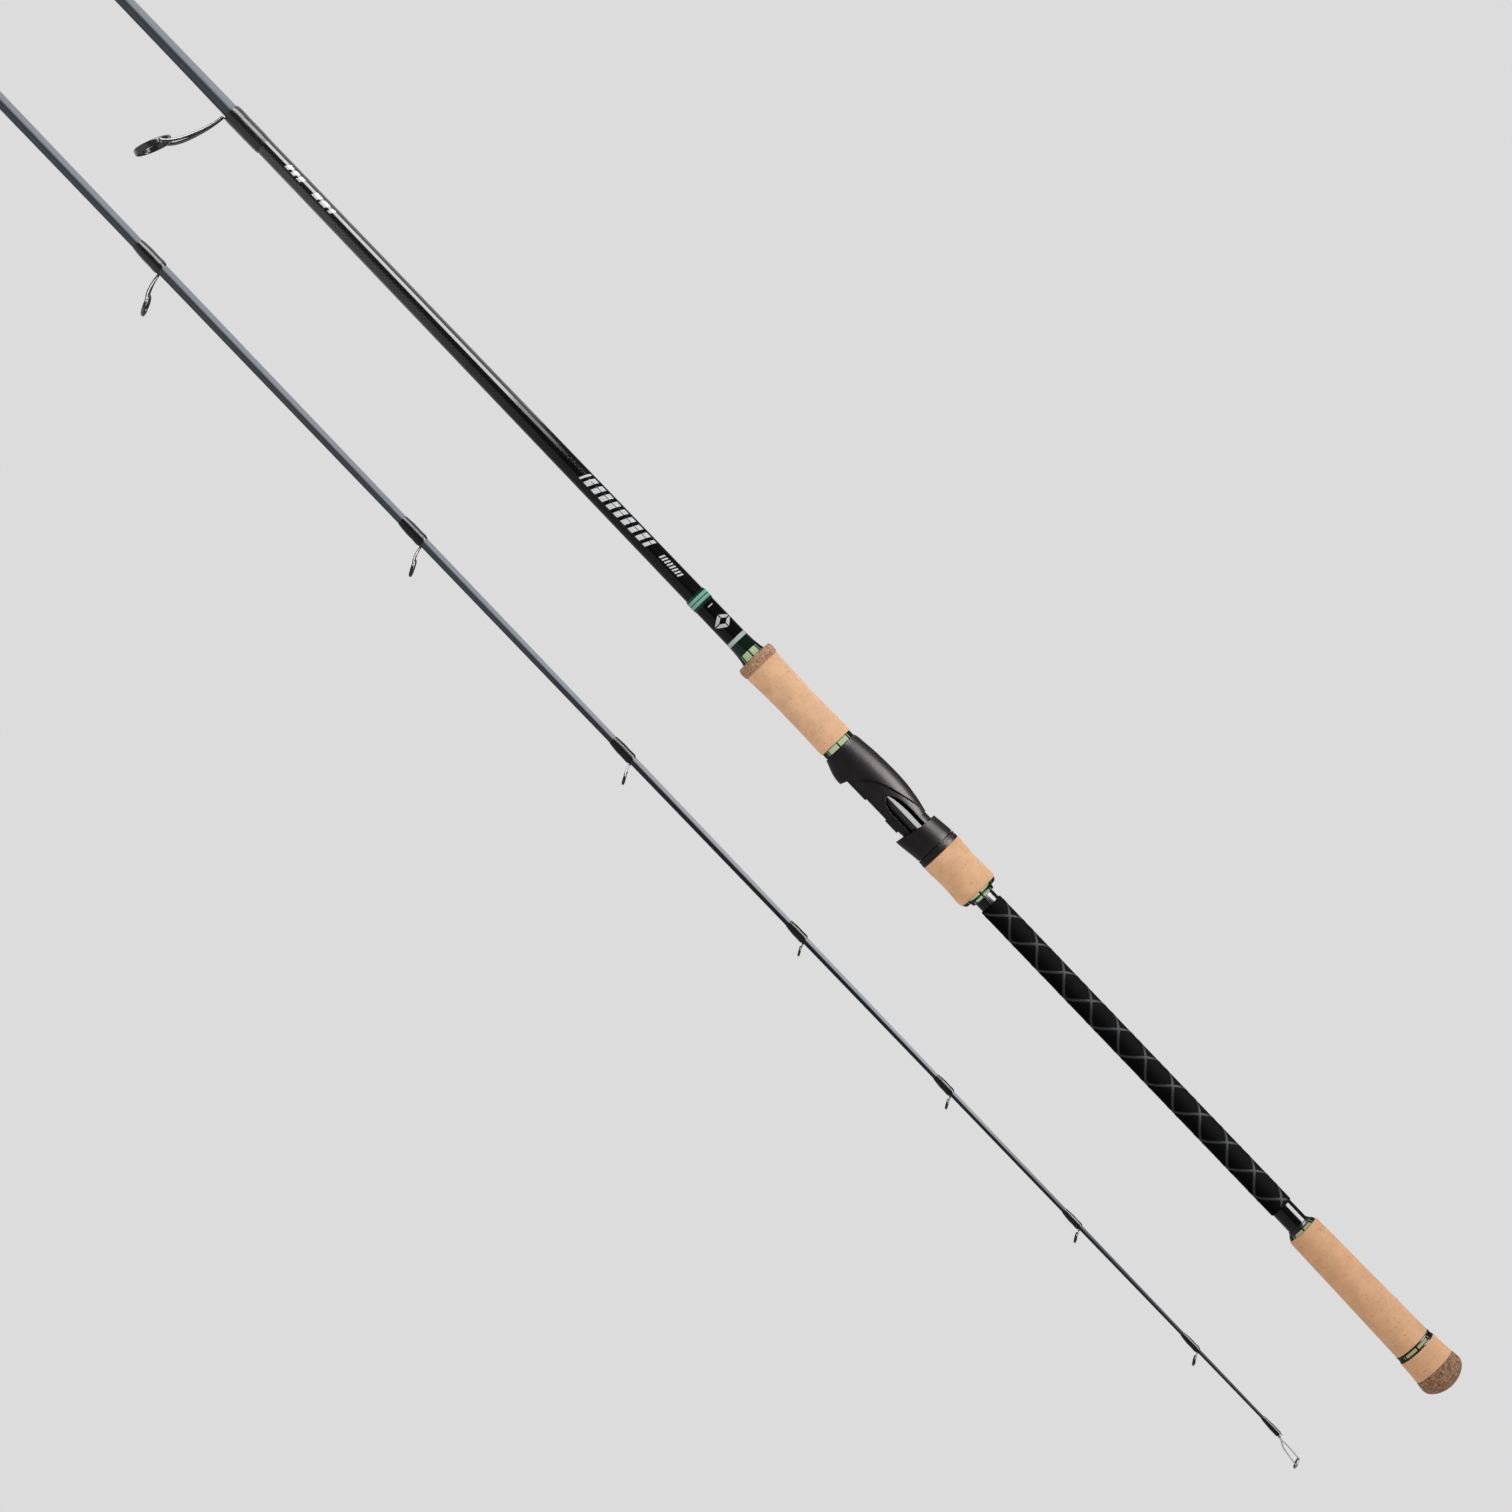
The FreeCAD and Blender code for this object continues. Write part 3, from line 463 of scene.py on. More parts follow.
def gloss_carbon():
    """Clear-coated woven carbon, with a plain slanted-dash graphic in silver."""
    net, place = new_material("gloss_carbon")
    x, angle = net.around(place)[:2]
    # Tows 1.5 mm wide, on a tube of about 6 mm radius
    along = net.calc("DIVIDE", x, 1.5)
    across = net.calc("DIVIDE", net.mul(angle, 6.0), 1.5)
    cell = net.add(net.calc("FLOOR", along), net.calc("FLOOR", across))
    over = net.fade(net.calc("FRACT", net.mul(cell, 0.5)), over=(0.2, 0.3))
    fibres_along = net.join(net.mul(x, 0.5), net.mul(angle, 60.0), 0.0)
    fibres_across = net.join(net.mul(x, 9.0), net.mul(angle, 3.0), 0.0)
    fibres = net.mix(over, net.noise(fibres_along, scale=1.0, detail=2.0),
                     net.noise(fibres_across, scale=1.0, detail=2.0))
    # The weave shows most at the -X end, and is painted lighter underneath as painted light from
    # below
    far_end = net.fade(x, over=(-960.0, -760.0), to=(1.0, 0.10))
    weave = net.mul(net.mul(net.split(fibres)[0], far_end), net.mix(over, grey(0.35), grey(1)))
    weave = net.mul(weave, net.fade(net.normal_z(), over=(0.02, -0.50), to=(0.35, 1.0)))
    color = net.mix(weave, (0.0025, 0.0025, 0.003, 1), (0.085, 0.085, 0.090, 1))
    # Dashes lean with the angle; a thin line cuts lengthwise through the big ones
    slanted = net.add(x, net.mul(angle, -2.6))
    height = net.window(angle, rise=(-0.27, -0.22), fall=(0.95, 1.00))
    big = net.bands(slanted, BIG_DASHES, soft=0.10)
    cut = net.mul(net.band(angle, centre=0.40, half=0.040, soft=0.02),
                  net.fade(slanted, over=(-749.5, -749.0)))
    big = net.mul(net.mul(big, height), net.sub(1.0, cut))
    small = net.mul(net.bands(slanted, SMALL_DASHES, soft=0.10),
                    net.window(angle, rise=(0.02, 0.06), fall=(0.60, 0.64)))
    far = net.mul(net.bands(slanted, FAR_DASHES, soft=0.12),
                  net.window(angle, rise=(0.02, 0.06), fall=(0.74, 0.78)))
    mark = net.max(net.max(big, small), far)
    scuff = net.fade(net.noise(place, scale=1.4), over=(0.3, 0.7), to=(0.82, 1.0))
    color = net.mix(mark, color, net.scaled((0.72, 0.73, 0.75), scuff))
    height = net.add(net.mul(over, 0.3), net.mul(mark, 0.8))
    gloss = net.noise(place, scale=0.06)
    return net.surface(
        base_color=color,
        roughness=net.fade(gloss, over=(0.3, 0.7), to=(0.045, 0.085)),
        specular_ior_level=0.5,
        normal=net.bump(height, distance=0.00002, strength=0.35),
    )


def satin_blank(name, axis_z):
    """Satin grey carbon blank with faint spiral tape marks; painted light makes it pale above and
    painted shade makes it deep grey underneath.
    """
    net, place = new_material(name)
    x, angle = net.around(place, axis_z)[:2]
    facing_up = net.normal_z()
    is_tip = axis_z != 0.0

    def slim():
        """Rises towards the thin end of the tip section."""
        return net.fade(x, over=(-760.0, -530.0)) if is_tip else 0.0

    # Painted light and shade: pale where the surface faces up, deep grey where it faces down; on the
    # tip section these painted tones change towards the thin end
    top = net.fade(facing_up, over=(-0.06, 0.34))
    dark, light = srgb(62, 66, 72), srgb(148, 154, 162)
    if is_tip:
        dark = net.mix(slim(), dark, srgb(34, 37, 41))
        light = net.mix(slim(), light, srgb(168, 174, 181))
        light = net.mix(net.fade(x, over=(-330.0, -180.0)), light, srgb(92, 96, 102))
    color = net.mix(top, dark, light)
    # Painted light as a lighter stripe low on the flank, and painted shade on the underside
    painted_flank_light = net.window(facing_up, rise=(-0.25, -0.50), fall=(-0.62, -0.82))
    painted_flank_light = net.mul(painted_flank_light, net.sub(0.5, net.mul(slim(), 0.5)))
    color = net.mix(painted_flank_light, color, srgb(82, 85, 90))
    painted_underside_shade = net.fade(facing_up, over=(-0.74, -0.95), to=(0.0, 0.7))
    color = net.mix(painted_underside_shade, color, srgb(36, 38, 42))
    # Long streaks and fine grain along the blank
    streak = net.join(net.mul(x, 0.02), net.mul(angle, 6.0), 0.0)
    streak = net.noise(streak, scale=1.0, detail=4.0)
    streak = net.fade(streak, over=(0.35, 0.7), to=(0.0, 0.22))
    color = net.mix(streak, color, net.scaled(color, 0.7))
    grain = net.noise(net.join(net.mul(x, 0.6), net.mul(angle, 40.0), 0.0), scale=1.0)
    color = net.mix(net.fade(grain, over=(0.4, 0.75), to=(0.0, 0.12)), color, srgb(30, 33, 38))
    if not is_tip:
        # The ground ferrule is bare matt carbon
        bare = net.fade(x, over=(-1258.2, -1257.2), to=(1.0, 0.0))
        carbon = net.mix(net.fade(grain, over=(0.3, 0.7)), srgb(38, 38, 40), srgb(62, 62, 64))
        color = net.mix(bare, color, carbon)
    # Tape turns are 1.9 mm apart
    tape = net.calc("SINE", net.mul(net.add(x, net.mul(angle, 0.30)), TURN / 1.9))
    height = net.add(net.mul(tape, 0.4), net.mul(grain, 0.3))
    return net.surface(
        base_color=color,
        roughness=net.fade(grain, over=(0.2, 0.8), to=(0.48, 0.60)),
        specular_ior_level=0.10,
        normal=net.bump(height, distance=0.000006, strength=0.25),
    )


def sleeve_rubber():
    """Black rubber with smoother, greyer raised lines."""
    net, place = new_material("sleeve_rubber")
    line = net.attribute("line")
    grain = net.noise(place, scale=5.0)
    rubber = net.mix(net.fade(grain, over=(0.3, 0.7)), srgb(3, 3, 3), srgb(12, 12, 14))
    worn = net.fade(net.noise(place, scale=1.5, detail=2.0), over=(0.3, 0.7))
    raised = net.mix(worn, srgb(38, 40, 43), srgb(58, 60, 64))
    texture = net.mul(grain, net.fade(line, over=(0.2, 0.7), to=(1.0, 0.25)))
    return net.surface(
        base_color=net.mix(net.mul(line, 0.95, clamp=True), rubber, raised),
        roughness=net.fade(line, over=(0.2, 0.8), to=(0.80, 0.55)),
        specular_ior_level=net.fade(line, over=(0.2, 0.8), to=(0.03, 0.12)),
        normal=net.bump(texture, distance=0.00012, strength=0.5),
    )


def seat_satin():
    """Satin black moulding; edges are softened so that they catch the light."""
    net, place = new_material("seat_satin")
    broad = net.noise(place, scale=0.08)
    grain = net.noise(place, scale=6.0, detail=2.0, rough=0.6)
    color = net.mix(net.fade(broad, over=(0.3, 0.7)), srgb(22, 20, 21), srgb(31, 28, 29))
    color = net.mix(net.fade(grain, over=(0.5, 0.8), to=(0.0, 0.3)), color, srgb(42, 38, 38))
    soft_edge = net.node("Bevel", {"Radius": 0.0005}, samples=4).outputs[0]
    return net.surface(
        base_color=color,
        roughness=net.fade(grain, over=(0.2, 0.8), to=(0.32, 0.38)),
        specular_ior_level=0.34,
        specular_tint=(1.0, 0.93, 0.92, 1.0),
        normal=net.bump(grain, distance=0.00001, strength=0.30, Normal=soft_edge),
    )


def green_metal():
    """Light green anodised metal, with painted shade: the grooves and the turned-away flanks go
    dark.
    """
    net, place = new_material("green_anodised")
    groove = net.attribute("groove")
    facing = net.node("LayerWeight", {"Blend": 0.5}).outputs["Facing"]
    x, angle = net.around(place)[:2]
    brushed = net.noise(net.join(net.mul(x, 14.0), net.mul(angle, 2.0), 0.0), scale=1.0)
    green = net.mix(net.fade(brushed, over=(0.3, 0.7)), srgb(172, 196, 148), srgb(208, 228, 186))
    # Yellower towards the butt
    aged = net.mix(net.fade(brushed, over=(0.3, 0.7)), srgb(158, 164, 116), srgb(184, 186, 142))
    color = net.mix(net.fade(x, over=(-300.0, -200.0)), green, aged)
    # Painted shade: dark green on flanks turned away from the view and in the grooves
    color = net.mix(net.fade(facing, over=(0.22, 0.36)), color, srgb(22, 40, 22))
    color = net.mix(net.fade(groove, over=(0.25, 0.6)), color, srgb(16, 34, 18))
    return net.surface(
        base_color=color,
        metallic=0.15,
        roughness=net.fade(brushed, over=(0.2, 0.8), to=(0.38, 0.52)),
        specular_ior_level=0.35,
        normal=net.bump(brushed, distance=0.00002, strength=0.3),
    )


def thread(name, base, coat_rough, spread=0.5, bands=(), specular=0.25, coat=0.9):
    """Thread turns 0.3 mm apart under epoxy, painted lighter on each turn and darker between turns
    as painted shade; bands are (x centre, half width, colour).
    """
    net, place = new_material(name)
    x = net.split(place)[0]
    turn = net.calc("SINE", net.mul(x, TURN / 0.30))
    uneven = net.noise(place, scale=1.1)
    # Painted light and shade along the thread turns, mixed with random uneven tone
    color = net.mix(net.add(net.mul(turn, 0.30), uneven, clamp=True),
                    shade(base, 1 - spread), shade(base, 1 + spread))
    for centre, half, band_color in bands:
        inside = net.band(x, centre, half, soft=0.08)
        # Painted light and shade on the band's thread turns
        painted_turn_light = net.add(net.mul(turn, 0.35), 0.5, clamp=True)
        color = net.mix(inside, color, net.mix(painted_turn_light, shade(band_color, 0.72), band_color))
    pooling = net.noise(place, scale=0.35, detail=2.0)
    ripple = net.noise(place, scale=0.5, detail=2.0)
    return net.surface(
        base_color=color,
        roughness=0.28,
        specular_ior_level=specular,
        coat_weight=coat,
        coat_roughness=net.fade(pooling, over=(0.3, 0.7), to=(coat_rough * 0.5, coat_rough)),
        coat_ior=1.5,
        normal=net.bump(net.mul(turn, 0.5), distance=0.00003, strength=0.5),
        coat_normal=net.bump(ripple, distance=0.00003, strength=0.5),
    )


def label_gloss():
    """Gloss black with a plain split lozenge and a small tick in silver."""
    net, place = new_material("label_gloss")
    x, angle = net.around(place)[:2]
    grain = net.noise(place, scale=2.0)
    black = net.mix(net.fade(grain, over=(0.3, 0.7)),
                    (0.0016, 0.0014, 0.0016, 1), (0.0045, 0.0040, 0.0045, 1))
    centre_x = -633.2
    # Lozenge half-size: 4.8 mm along x, 1.12 radians around
    along = net.calc("DIVIDE", net.calc("ABSOLUTE", net.sub(x, centre_x)), 4.8)
    across = net.calc("DIVIDE", net.calc("ABSOLUTE", net.sub(angle, 0.24)), 1.12)
    distance = net.add(along, across)
    lozenge = net.fade(distance, over=(0.97, 1.03), to=(1.0, 0.0))
    hole = net.fade(distance, over=(0.44, 0.50), to=(1.0, 0.0))
    split = net.band(angle, centre=0.26, half=0.055, soft=0.02)
    cut = net.band(x, centre=centre_x, half=0.40, soft=0.1)
    mark = net.mul(lozenge, net.sub(1.0, net.max(net.max(hole, split), cut)))
    tick = net.mul(net.band(x, centre=-645.2, half=0.35, soft=0.08),
                   net.window(angle, rise=(0.1, 0.14), fall=(0.66, 0.7)))
    mark = net.max(mark, tick)
    wear = net.fade(grain, over=(0.3, 0.7), to=(0.8, 1.0))
    silver = net.scaled((0.60, 0.60, 0.62), wear)
    height = net.add(net.mul(grain, 0.2), mark)
    return net.surface(
        base_color=net.mix(mark, black, silver), roughness=0.07,
        normal=net.bump(height, distance=0.00002, strength=0.3),
    )


def metal(name, base, rough, metallic):
    """Metal with cloudy tone and fine scratches across the x direction."""
    net, place = new_material(name)
    cloud = net.noise(place, scale=1.6)
    scratch = net.noise(net.vector("MULTIPLY", place, (9.0, 2.0, 2.0)), scale=1.0)
    return net.surface(
        base_color=net.mix(net.fade(cloud, over=(0.3, 0.7)), shade(base, 0.75), base),
        metallic=metallic,
        roughness=net.fade(scratch, over=(0.2, 0.8), to=(rough * 0.7, rough * 1.3)),
        normal=net.bump(scratch, distance=0.00001, strength=0.125),
    )


def plain(name, base, rough, scale, spread, relief):
    """One mottled colour; relief is the bump distance in metres."""
    net, place = new_material(name)
    mottle = net.noise(place, scale, detail=4.0, rough=0.65)
    return net.surface(
        base_color=net.mix(net.fade(mottle, over=(0.3, 0.7)),
                           shade(base, 1 - spread), shade(base, 1 + spread)),
        roughness=net.fade(mottle, over=(0.2, 0.8), to=(rough - 0.06, rough + 0.06)),
        specular_ior_level=0.3,
        normal=net.bump(mottle, distance=relief, strength=0.5),
    )


CORK_FORE = cork("cork_fore", srgb(228, 182, 143), first_joint=-533.8)
CORK_BUTT = cork("cork_butt", srgb(214, 166, 127), first_joint=-34.2)
CORK_NUT = cork("cork_nut", srgb(226, 178, 137), first_joint=-442.8, ring_length=15.6)
BURL_CAP = burl("burl_cap", dark=srgb(98, 68, 48), middle=srgb(148, 112, 85),
                light=srgb(176, 137, 106), scale=0.62)
BURL_RING = burl("burl_ring", dark=srgb(148, 108, 82), middle=srgb(184, 141, 112),
                 light=srgb(208, 166, 134), scale=0.75)
GLOSS = gloss_carbon()
SATIN_BUTT = satin_blank("satin_blank_butt", axis_z=0.0)
SATIN_TIP = satin_blank("satin_blank_tip", axis_z=TIP_Z)
SLEEVE = sleeve_rubber()
SEAT = seat_satin()
GREEN = green_metal()
LABEL = label_gloss()
GREEN_THREAD = thread("green_thread", srgb(5, 30, 19), coat_rough=0.10)
SILVER_THREAD = thread("silver_thread", srgb(176, 190, 184), coat_rough=0.12, spread=0.25)
TEAL_THREAD = thread("teal_thread", srgb(14, 50, 40), coat_rough=0.10,
                     bands=[(centre, 1.05, srgb(132, 190, 170)) for centre in (-653.6, -650.9)])
BLACK_THREAD = thread("black_thread", srgb(26, 25, 27), coat_rough=0.26, coat=0.6, specular=0.1)
GUIDE_STEEL = metal("guide_steel", (0.13, 0.13, 0.135, 1), rough=0.30, metallic=1.0)
TIP_STEEL = metal("tip_steel", (0.52, 0.52, 0.53, 1), rough=0.26, metallic=0.92)
CERAMIC = metal("guide_ceramic", (0.035, 0.035, 0.038, 1), rough=0.14, metallic=0.3)
FOAM = plain("arbor_foam", srgb(52, 52, 53), rough=0.85, scale=2.2, spread=0.35, relief=0.00020)
HOOD_RUBBER = plain("hood_rubber", srgb(44, 44, 47), rough=0.62, scale=3.0, spread=0.25,
                    relief=0.00006)
BLACK_TRIM = metal("black_anodised", (0.020, 0.020, 0.021, 1), rough=0.24, metallic=0.2)


# ---------------------------------------------------------------- surface detail
def pits(low_x, high_x, radius, count, seed, depth=0.11, size=1.0):
    """Mask of scattered cork pits, mostly longer around the piece than along it."""
    draw = np.random.RandomState(seed)
    pit_x = draw.uniform(low_x + 0.6, high_x - 0.6, count)
    pit_angle = draw.uniform(0, TURN, count)
    length = draw.uniform(0.35, 1.25, count) * size
    width = draw.uniform(0.14, 0.34, count) * size
    heading = draw.normal(math.pi / 2, 0.45, count)
    strength = draw.uniform(0.4, 1.0, count)
    reach = 2.6 * size      # a pit has died away beyond this distance

    def field(x, angle):
        out = np.zeros_like(x)
        for i in range(count):
            along = x[:, 0] - pit_x[i]
            around = wrap_angle(angle[0] - pit_angle[i]) * radius
            rows = np.where(np.abs(along) < reach)[0]
            cols = np.where(np.abs(around) < reach)[0]
            if not len(rows) or not len(cols):
                continue
            along, around = along[rows][:, None], around[cols][None, :]
            cos, sin = math.cos(heading[i]), math.sin(heading[i])
            lengthwise = (along * cos + around * sin) / length[i]
            sideways = (around * cos - along * sin) / width[i]
            pit = np.exp(-(lengthwise ** 2 + sideways ** 2) * 1.4) * strength[i]
            block = np.ix_(rows, cols)
            out[block] = np.maximum(out[block], pit)
        return out

    return "pit", field, -depth


def wobble(seed, height, size):
    """Low smooth unevenness, as hand-sanded cork has."""
    draw = np.random.RandomState(seed)
    waves = [(draw.randint(1, 6), draw.uniform(0.5, 1.0) * TURN / size, draw.uniform(0, 6.28),
              draw.uniform(-1, 1)) for _ in range(7)]

    def relief(x, angle):
        out = np.zeros_like(x)
        for lobes, rate, phase, hand in waves:
            along = rate * x * (1 if hand > 0 else -1)
            out += np.sin(lobes * angle + phase) * np.sin(along + phase * 2)
        return out * height / 3

    return relief


def milled(depth, width):
    """Mask of eight grooves between panels, one facing the front; width is in degrees."""
    def field(x, angle):
        from_groove = (np.degrees(angle) + 22.5) % 45.0 - 22.5
        return np.exp(-(from_groove / width) ** 4)

    return "groove", field, -depth


def thread_turns(height):
    """Thread wound at 0.4 mm a turn."""
    return lambda x, angle: height * np.sin(TURN * x / 0.4 + angle)


# ---------------------------------------------------------------- butt blank and its coating
blank_outer = (refined(BUTT_BLANK, 12.0) + [(-1258.0, 3.80)]
               + refined([(-1258.2, 3.80), (-1329.65, 3.80)], 6.0) + [(-1330.0, 3.45)])
turned("butt_blank_skin", blank_outer, "blank_satin", SATIN_BUTT, seg=96,
       replaces="butt_blank", inner=BUTT_BORE)
turned("gloss_layer", refined(COATING, 8.0) + [(-1051.4, 5.0), (-1052.0, 4.74)],
       "blank_gloss", GLOSS, seg=112, replaces="gloss_overwrap",
       inner=[(x, radius + GLUE) for x, radius in reversed(BUTT_BLANK[:3])])


def green_ring(name, outer, replaces, depth, width, step=0.25, seg=320, **options):
    """Green trim ring; depth and width are those of its grooves."""
    turned(name, outer, "green_trim", GREEN, seg, replaces, step=step,
           mask=milled(depth, width), **options)


# ---------------------------------------------------------------- butt cap, cork ring, trim
cap_outer = [(0.0, 0.0), (0.0, 1.2), (0.0, 2.4)] + spline(
    [(0.0, 3.6), (-0.35, 5.2), (-1.3, 7.9), (-3.9, 12.1), (-6.4, 14.2), (-9.2, 14.9),
     (-11.6, 14.75), (-15.18, 14.3)], 84)
turned("butt_cap_burl", cap_outer, "burl_cork", BURL_CAP, seg=240, replaces="butt_cap",
       inner=[(-15.18, 7.0), (-5.3, 7.0), (-5.3, 0.0)], step=0.5,
       mask=pits(-15.1, -0.5, radius=14.0, count=76, seed=11, depth=0.16, size=0.9),
       fade=lambda x: smoothstep(-x, 0.6, 3.0))
turned("butt_ring_cork",
       spline([(-15.22, 14.27), (-18.0, 14.0), (-24.0, 13.55), (-29.98, 13.25)], 60),
       "natural_cork", CORK_BUTT, seg=220, replaces="butt_cork_ring", step=0.4,
       mask=pits(-29.9, -15.3, radius=13.7, count=56, seed=12),
       relief=wobble(1, height=0.03, size=16))


def washer(name, low_x, high_x, radius, replaces=None):
    """Thin black ring with chamfered edges."""
    chamfer = 0.15
    outer = [(high_x, radius - chamfer), (high_x - chamfer, radius),
             (low_x + chamfer, radius), (low_x, radius - chamfer)]
    turned(name, outer, "black_trim", BLACK_TRIM, seg=144, replaces=replaces)


washer("butt_washer_rear", -30.9, -30.0, radius=13.05, replaces="butt_trim_washers")
washer("butt_washer_front", -34.2, -33.3, radius=12.75)
green_ring("butt_band_green",
           [(-30.92, 12.42), (-31.22, 12.72), (-32.98, 12.62), (-33.28, 12.32)],
           "butt_trim_band", depth=0.40, width=2.6, step=0.3, seg=360)

# ---------------------------------------------------------------- butt grip, check, collar
BUTT_GRIP = [
    (-34.22, 12.0), (-34.36, 12.35), (-34.72, 12.5), (-50.0, 12.25), (-74.0, 11.8),
    (-100.0, 11.35), (-126.0, 11.0), (-127.9, 10.83), (-128.5, 10.6), (-128.9, 10.15),
    (-129.0, 9.7),
]
turned("butt_grip_cork", BUTT_GRIP, "natural_cork", CORK_BUTT, seg=208, replaces="butt_grip",
       step=0.40, mask=pits(-128.9, -34.3, radius=11.8, count=300, seed=13),
       fade=lambda x: smoothstep(-34.3 - x, 0.0, 1.0) * smoothstep(x + 128.9, 0.0, 1.0),
       relief=wobble(2, height=0.035, size=30))
green_ring("butt_check_green", [(-129.02, 9.75), (-129.2, 10.06), (-130.8, 9.15), (-131.0, 8.8)],
           "butt_grip_check", depth=0.34, width=3.4)
turned("butt_collar_black", spline([(-131.02, 8.95), (-131.9, 8.05), (-133.2, 7.45)], 14),
       "black_trim", BLACK_TRIM, seg=144, replaces="butt_check_collar")

# ---------------------------------------------------------------- rear sleeve and its check
SLEEVE_LINE = [(-147.6, 7.25), (-147.75, 7.55), (-148.1, 7.68),
               (-399.1, 7.68), (-399.45, 7.55), (-399.6, 7.25)]
LINE_LEAD = 47.0        # x travelled in one turn of a raised line
LINE_RADIUS = 7.8       # radius at which the lines are measured
CROSSING_X = -152.0
CROSSING_ANGLE = 0.44   # crossings face the front, a little above the middle


def crossing_lines(x, angle):
    """Two-start left and right helices as rounded lines."""
    lines = np.zeros_like(x)
    slope = TURN * LINE_RADIUS / LINE_LEAD
    turn = (x - CROSSING_X) / LINE_LEAD * TURN
    for hand in (1, -1):
        for start in (0.0, math.pi):
            offset = wrap_angle(angle - CROSSING_ANGLE - hand * turn - start)
            # Distance square to the line, on the unrolled surface
            distance = np.abs(offset) * LINE_RADIUS / math.sqrt(1 + slope ** 2)
            lines = np.maximum(lines, 1 - smoothstep(distance, 0.38, 1.05))
    # The lines die away at the sleeve's ends
    return lines * smoothstep(x, -399.0, -396.5) * (1 - smoothstep(x, -150.5, -148.2))


turned("rear_sleeve_skin", SLEEVE_LINE, "grip_sleeve", SLEEVE, seg=176,
       replaces="rear_grip_sleeve", step=0.36, mask=("line", crossing_lines, 0.12))
green_ring("rear_check_green", [(-405.6, 7.9), (-405.85, 8.2), (-407.5, 8.62), (-407.8, 8.35)],
           "rear_check", depth=0.30, width=3.6)

# ---------------------------------------------------------------- fore grip and trims
green_ring("seat_check_green", [(-529.82, 10.5), (-530.2, 10.9), (-533.4, 10.9), (-533.8, 10.5)],
           "seat_front_check", depth=0.36, width=2.6, step=0.35, seg=360)
fore_curve = spline(
    [(-598.18, 12.1), (-592.0, 11.85), (-580.0, 11.4), (-566.0, 11.2), (-552.0, 11.25),
     (-541.0, 11.45), (-533.82, 11.55)], 170)
turned("fore_grip_cork",
       [(-598.18, 11.7)] + fore_curve[1:-1] + [(-533.9, 11.5), (-533.82, 11.2)],
       "natural_cork", CORK_FORE, seg=208, replaces="fore_grip", step=0.40,
       mask=pits(-598.0, -534.0, radius=11.5, count=210, seed=14),
       relief=wobble(3, height=0.03, size=24))
burl_ring_curve = spline(
    [(-598.2, 12.05), (-598.7, 12.5), (-599.6, 12.68), (-601.5, 12.80), (-603.4, 12.66),
     (-604.4, 12.28), (-604.9, 11.8), (-605.0, 11.3)], 40)
turned("fore_ring_burl", burl_ring_curve, "burl_cork", BURL_RING, seg=220,
       replaces="fore_grip_ring", step=0.35,
       mask=pits(-604.9, -598.3, radius=12.6, count=50, seed=15, depth=0.10, size=0.8))
green_ring("winding_check_green",
           [(-605.02, 8.1), (-605.3, 8.36), (-607.4, 7.75), (-610.0, 7.45), (-610.2, 7.25)],
           "front_winding_check", depth=0.30, width=3.6, step=0.3)

# ---------------------------------------------------------------- wraps beyond the fore grip
turned("green_wrap_thread",
       spline([(-618.2, 6.82), (-615.5, 6.95), (-612.5, 7.15), (-610.22, 7.42)], 30),
       "green_wrap", GREEN_THREAD, seg=120, replaces="front_green_wrap", step=0.1,
       relief=thread_turns(0.012))
turned("silver_band_thread", [(-618.22, 6.72), (-618.32, 6.84), (-620.9, 6.78), (-621.0, 6.66)],
       "silver_trim", SILVER_THREAD, seg=120, replaces="silver_trim_band", step=0.1,
       relief=thread_turns(0.012))
turned("label_wrap_gloss", [(-621.02, 6.62), (-621.1, 6.74), (-647.9, 6.68), (-648.0, 6.56)],
       "black_wrap", LABEL, seg=120, replaces="label_wrap", step=0.6)
teal_curve = spline(
    [(-656.4, 6.62), (-655.6, 6.98), (-654.2, 7.10), (-650.2, 7.12), (-648.8, 7.02),
     (-648.02, 6.80)], 40)
turned("teal_wrap_thread", teal_curve, "teal_wrap", TEAL_THREAD, seg=120,
       replaces="teal_trim_wrap", step=0.1, relief=thread_turns(0.012))

# ---------------------------------------------------------------- lock nut's cork and end ring
nut_curve = spline(
    [(-442.78, 13.95), (-438.0, 13.85), (-431.0, 13.5), (-426.0, 13.4), (-420.0, 13.6),
     (-414.6, 13.95), (-412.4, 13.75), (-410.42, 13.0)], 112)
turned("nut_cork", [(-442.78, 13.7)] + nut_curve[1:], "natural_cork", CORK_NUT, seg=236,
       replaces="lock_nut_cork", inner=[(-410.42, 11.32), (-442.78, 11.32)], body=NUT, step=0.40,
       mask=pits(-442.6, -410.6, radius=13.6, count=134, seed=16),
       relief=wobble(4, height=0.03, size=20))
NUT_RING = [(-410.38, 12.8), (-410.25, 12.94), (-409.5, 12.55), (-409.1, 12.30),
            (-408.5, 11.72), (-408.2, 11.4), (-408.2, 11.0)]
green_ring("nut_end_ring_green", NUT_RING, "lock_nut_end_ring", depth=0.28, width=3.0,
           inner=[(-408.2, 10.15), (-410.38, 10.15)], body=NUT)

# ---------------------------------------------------------------- tip blank, hollow at its thick end
tip_outer = ([(-1283.0, 0.0), (-1283.0, 3.82), (-1358.0, 3.82), (-1358.0, 4.4), (-1357.75, 4.61)]
             + refined([(-1357.7, 4.617)] + TIP_BLANK[1:], 10.0))
turned("tip_blank_skin", tip_outer, "blank_satin", SATIN_TIP, seg=80, replaces="tip_blank",
       inner=[(-49.2, 0.0)], body=TIP, axis_z=TIP_Z)


